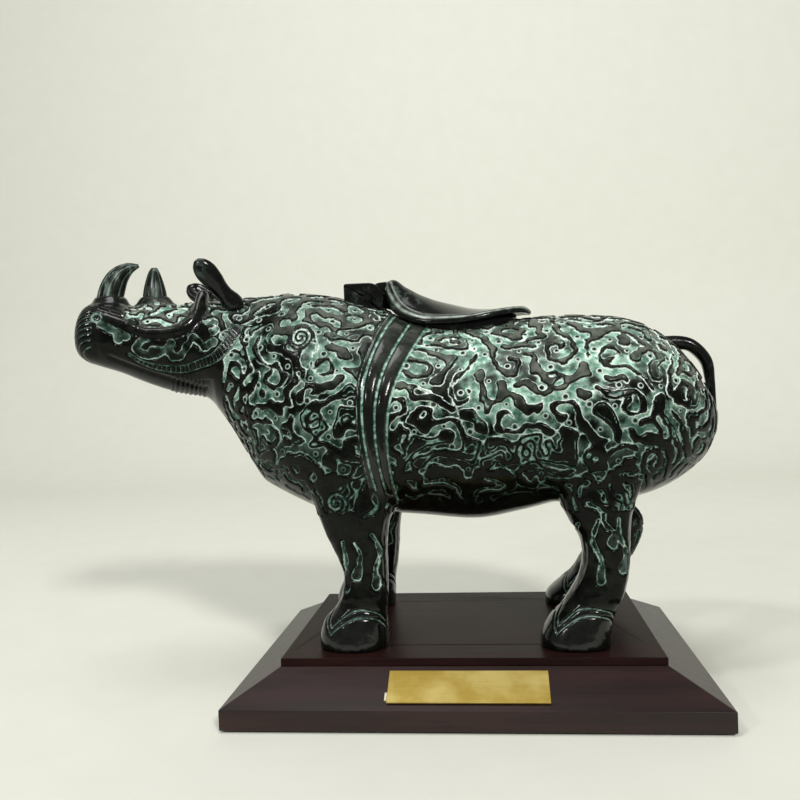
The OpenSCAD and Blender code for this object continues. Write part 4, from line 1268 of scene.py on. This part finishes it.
def collar(half_l=29, half_w=17):
    """The oval rim round the mouth, a section swept along the underside of the lid."""
    section = [(0, 0), (3.6, 0), (3.6, 0.86), (3.2, 0.96), (2.4, 1), (1.2, 1), (0.4, 0.96), (0, 0.86)]
    a = ring_angles(160)
    low = height(77.5)
    verts = []
    for out, share in section:
        cx, cy = LID_MID + (half_l + out) * np.cos(a), (half_w + out) * np.sin(a)
        under = lid_heights((cx - LID_MID) / (LID_LEN / 2), cy / (LID_W / 2))[1]
        verts.append(columns(cx, cy, low + (under - 0.8 - low) * share))
    n, m = len(a), len(section)
    faces = [[j * n + i, j * n + (i + 1) % n, (j + 1) % m * n + (i + 1) % n, (j + 1) % m * n + i]
             for j in range(m) for i in range(n)]
    obj = mesh_object("collar_casting", np.vstack(verts), faces)
    dress(obj, dark_bronze, "vessel", "mouth_collar")


def ease(node, material, width, segments=3):
    """A solid that keeps its shape gets its finish and eased edges."""
    obj = nodes[node]
    obj.data.materials.clear()
    obj.data.materials.append(material)
    modify(obj, "WELD", merge_threshold=0.00001)
    if width:
        modify(obj, "BEVEL", width=width * MM, segments=segments, limit_method="ANGLE",
               angle_limit=math.radians(32))
    modify(obj, "EDGE_SPLIT", split_angle=math.radians(20))
    modify(obj, "WEIGHTED_NORMAL", weight=100)
    smooth_shade(obj)


patinated_bronze, fluted_bronze = bronze_skin(), horn_bronze()
for piece_node, piece in castings().items():
    dress(piece, patinated_bronze, "vessel", piece_node)
horn("nose_horn", NOSE_HORN, NOSE_HORN_U, 20.0, 7.4, fluted_bronze)
horn("brow_horn", BROW_HORN, BROW_HORN_U, 16.5, 6.8, fluted_bronze)
ear("left_ear", -1, 16, 15, 94.4, 25, 34)
ear("right_ear", 1, 24, 18, 93, 30, 49)
tail()
lid()
collar()
ease("hinge_bracket", dark_bronze, 0.9)
ease("hinge_pin", dark_bronze, 0.4)
for rail in ("front_rail", "back_rail", "left_rail", "right_rail"):
    ease(rail, rail_lacquer, 0.5)
ease("top_slab", lacquered_wood("slab_lacquer", 0.03), 0.6)
ease("backing_board", bare_wood, 0.3)
ease("base_felt", felt, 0.3)
ease("plaque", brass(), 0.25)
ease("plaque_tape", tape, 0.0)
ease("mounting_screws", steel, 0.15)
ease("washers", steel, 0.1)
ease("left_eye", eye_glass, 0.0)
ease("right_eye", eye_glass, 0.0)

# Camera, floor and light

# The photo's camera, fitted to the base's corners: focal length in pixels, angles in radians
PHOTO_PIXELS, FOCAL_PIXELS, SENSOR = 800, 876.7924, 36
CAMERA_PLACE = (14.4225, -495.4053, 164.5079)
CAMERA_PITCH, CAMERA_YAW, CAMERA_ROLL = -0.0203, 0.1035, -0.0353


def photo_camera():
    camera = new_object("camera", bpy.data.cameras.new("camera"))
    bpy.context.scene.camera = camera
    camera.data.sensor_width = SENSOR
    camera.data.lens = SENSOR * FOCAL_PIXELS / PHOTO_PIXELS
    camera.data.clip_start = 0.01
    angles = (CAMERA_YAW, CAMERA_PITCH, CAMERA_ROLL)
    cy, sy, cp, sp, cr, sr = (f(v) for v in angles for f in (math.cos, math.sin))
    yaw = np.array([[cy, sy, 0], [-sy, cy, 0], [0, 0, 1]])
    pitch = np.array([[1, 0, 0], [0, cp, sp], [0, -sp, cp]])
    roll = np.array([[cr, 0, sr], [0, 1, 0], [-sr, 0, cr]])
    right, forward, up = roll @ pitch @ yaw
    pose = Matrix.Identity(4)
    for k in range(3):
        pose[k][0], pose[k][1], pose[k][2] = right[k], up[k], -forward[k]
    pose.translation = Vector(CAMERA_PLACE) * MM
    camera.matrix_world = pose


def floor_and_backdrop(front=-450, back=900, bend=400, top=2200.0, half_w=3000):
    """A pale floor that sweeps up into a backdrop."""
    t = np.radians(np.linspace(0, 90, 12))
    sweep = list(zip(back + bend * np.sin(t), bend - bend * np.cos(t)))
    profile = [(front, 0.0)] + sweep + [(back + bend, top)]
    verts = [(x, y, z) for y, z in profile for x in (-half_w, half_w)]
    faces = [(2 * k, 2 * k + 1, 2 * k + 3, 2 * k + 2) for k in range(len(profile) - 1)]
    obj = mesh_object("floor", verts, faces)
    m = Nodes("floor")
    m.set("Base Color", m.mix(m.noise(30, 2), colour("dcddd1"), colour("e2e3d8")))
    m.set("Roughness", 0.7)
    obj.data.materials.append(m.material)


def lamp(name, place, target, size, power, tone=(1, 1, 1)):
    data = bpy.data.lights.new(name, "AREA")
    data.shape = "RECTANGLE"
    data.size, data.size_y = size
    data.energy = power
    data.color = tone
    obj = new_object(name, data)
    obj.location = place
    obj.rotation_euler = (Vector(target) - Vector(place)).to_track_quat("-Z", "Y").to_euler()


def pale_world(strength=0.2):
    """A faint even light, which the camera sees as the floor's tone."""
    world = bpy.data.worlds.new("studio")
    bpy.context.scene.world = world
    world.use_nodes = True
    tree = world.node_tree
    light, seen = tree.nodes["Background"], tree.nodes.new("ShaderNodeBackground")
    light.inputs["Color"].default_value = (1, 1, 1, 1)
    light.inputs["Strength"].default_value = strength
    seen.inputs["Color"].default_value = colour("eceddf")
    seen.inputs["Strength"].default_value = 1.0
    ray, mixed = tree.nodes.new("ShaderNodeLightPath"), tree.nodes.new("ShaderNodeMixShader")
    tree.links.new(ray.outputs["Is Camera Ray"], mixed.inputs[0])
    tree.links.new(light.outputs[0], mixed.inputs[1])
    tree.links.new(seen.outputs[0], mixed.inputs[2])
    tree.links.new(mixed.outputs[0], tree.nodes["World Output"].inputs["Surface"])


photo_camera()
floor_and_backdrop()
lamp("key", (1.28, -2.72, 2.11), (0, 0, 0.14), (0.51, 0.46), 82, (1.0, 0.98, 0.95))
lamp("top", (-0.2, -0.2, 2.0), (-0.03, 0, 0.1), (1.0, 0.75), 11)
lamp("left", (-0.9, -0.9, 1.8), (0, 0, 0.15), (0.2, 0.2), 9, (0.97, 0.99, 1.0))
lamp("low", (-1.1, -1.4, 0.9), (0, 0, 0.12), (0.1, 0.18), 6)
lamp("wall", (0, 0.35, 1.0), (0, 1.3, 0.7), (1.4, 0.3), 1.2)
pale_world()
bpy.context.scene.view_settings.view_transform = "Standard"
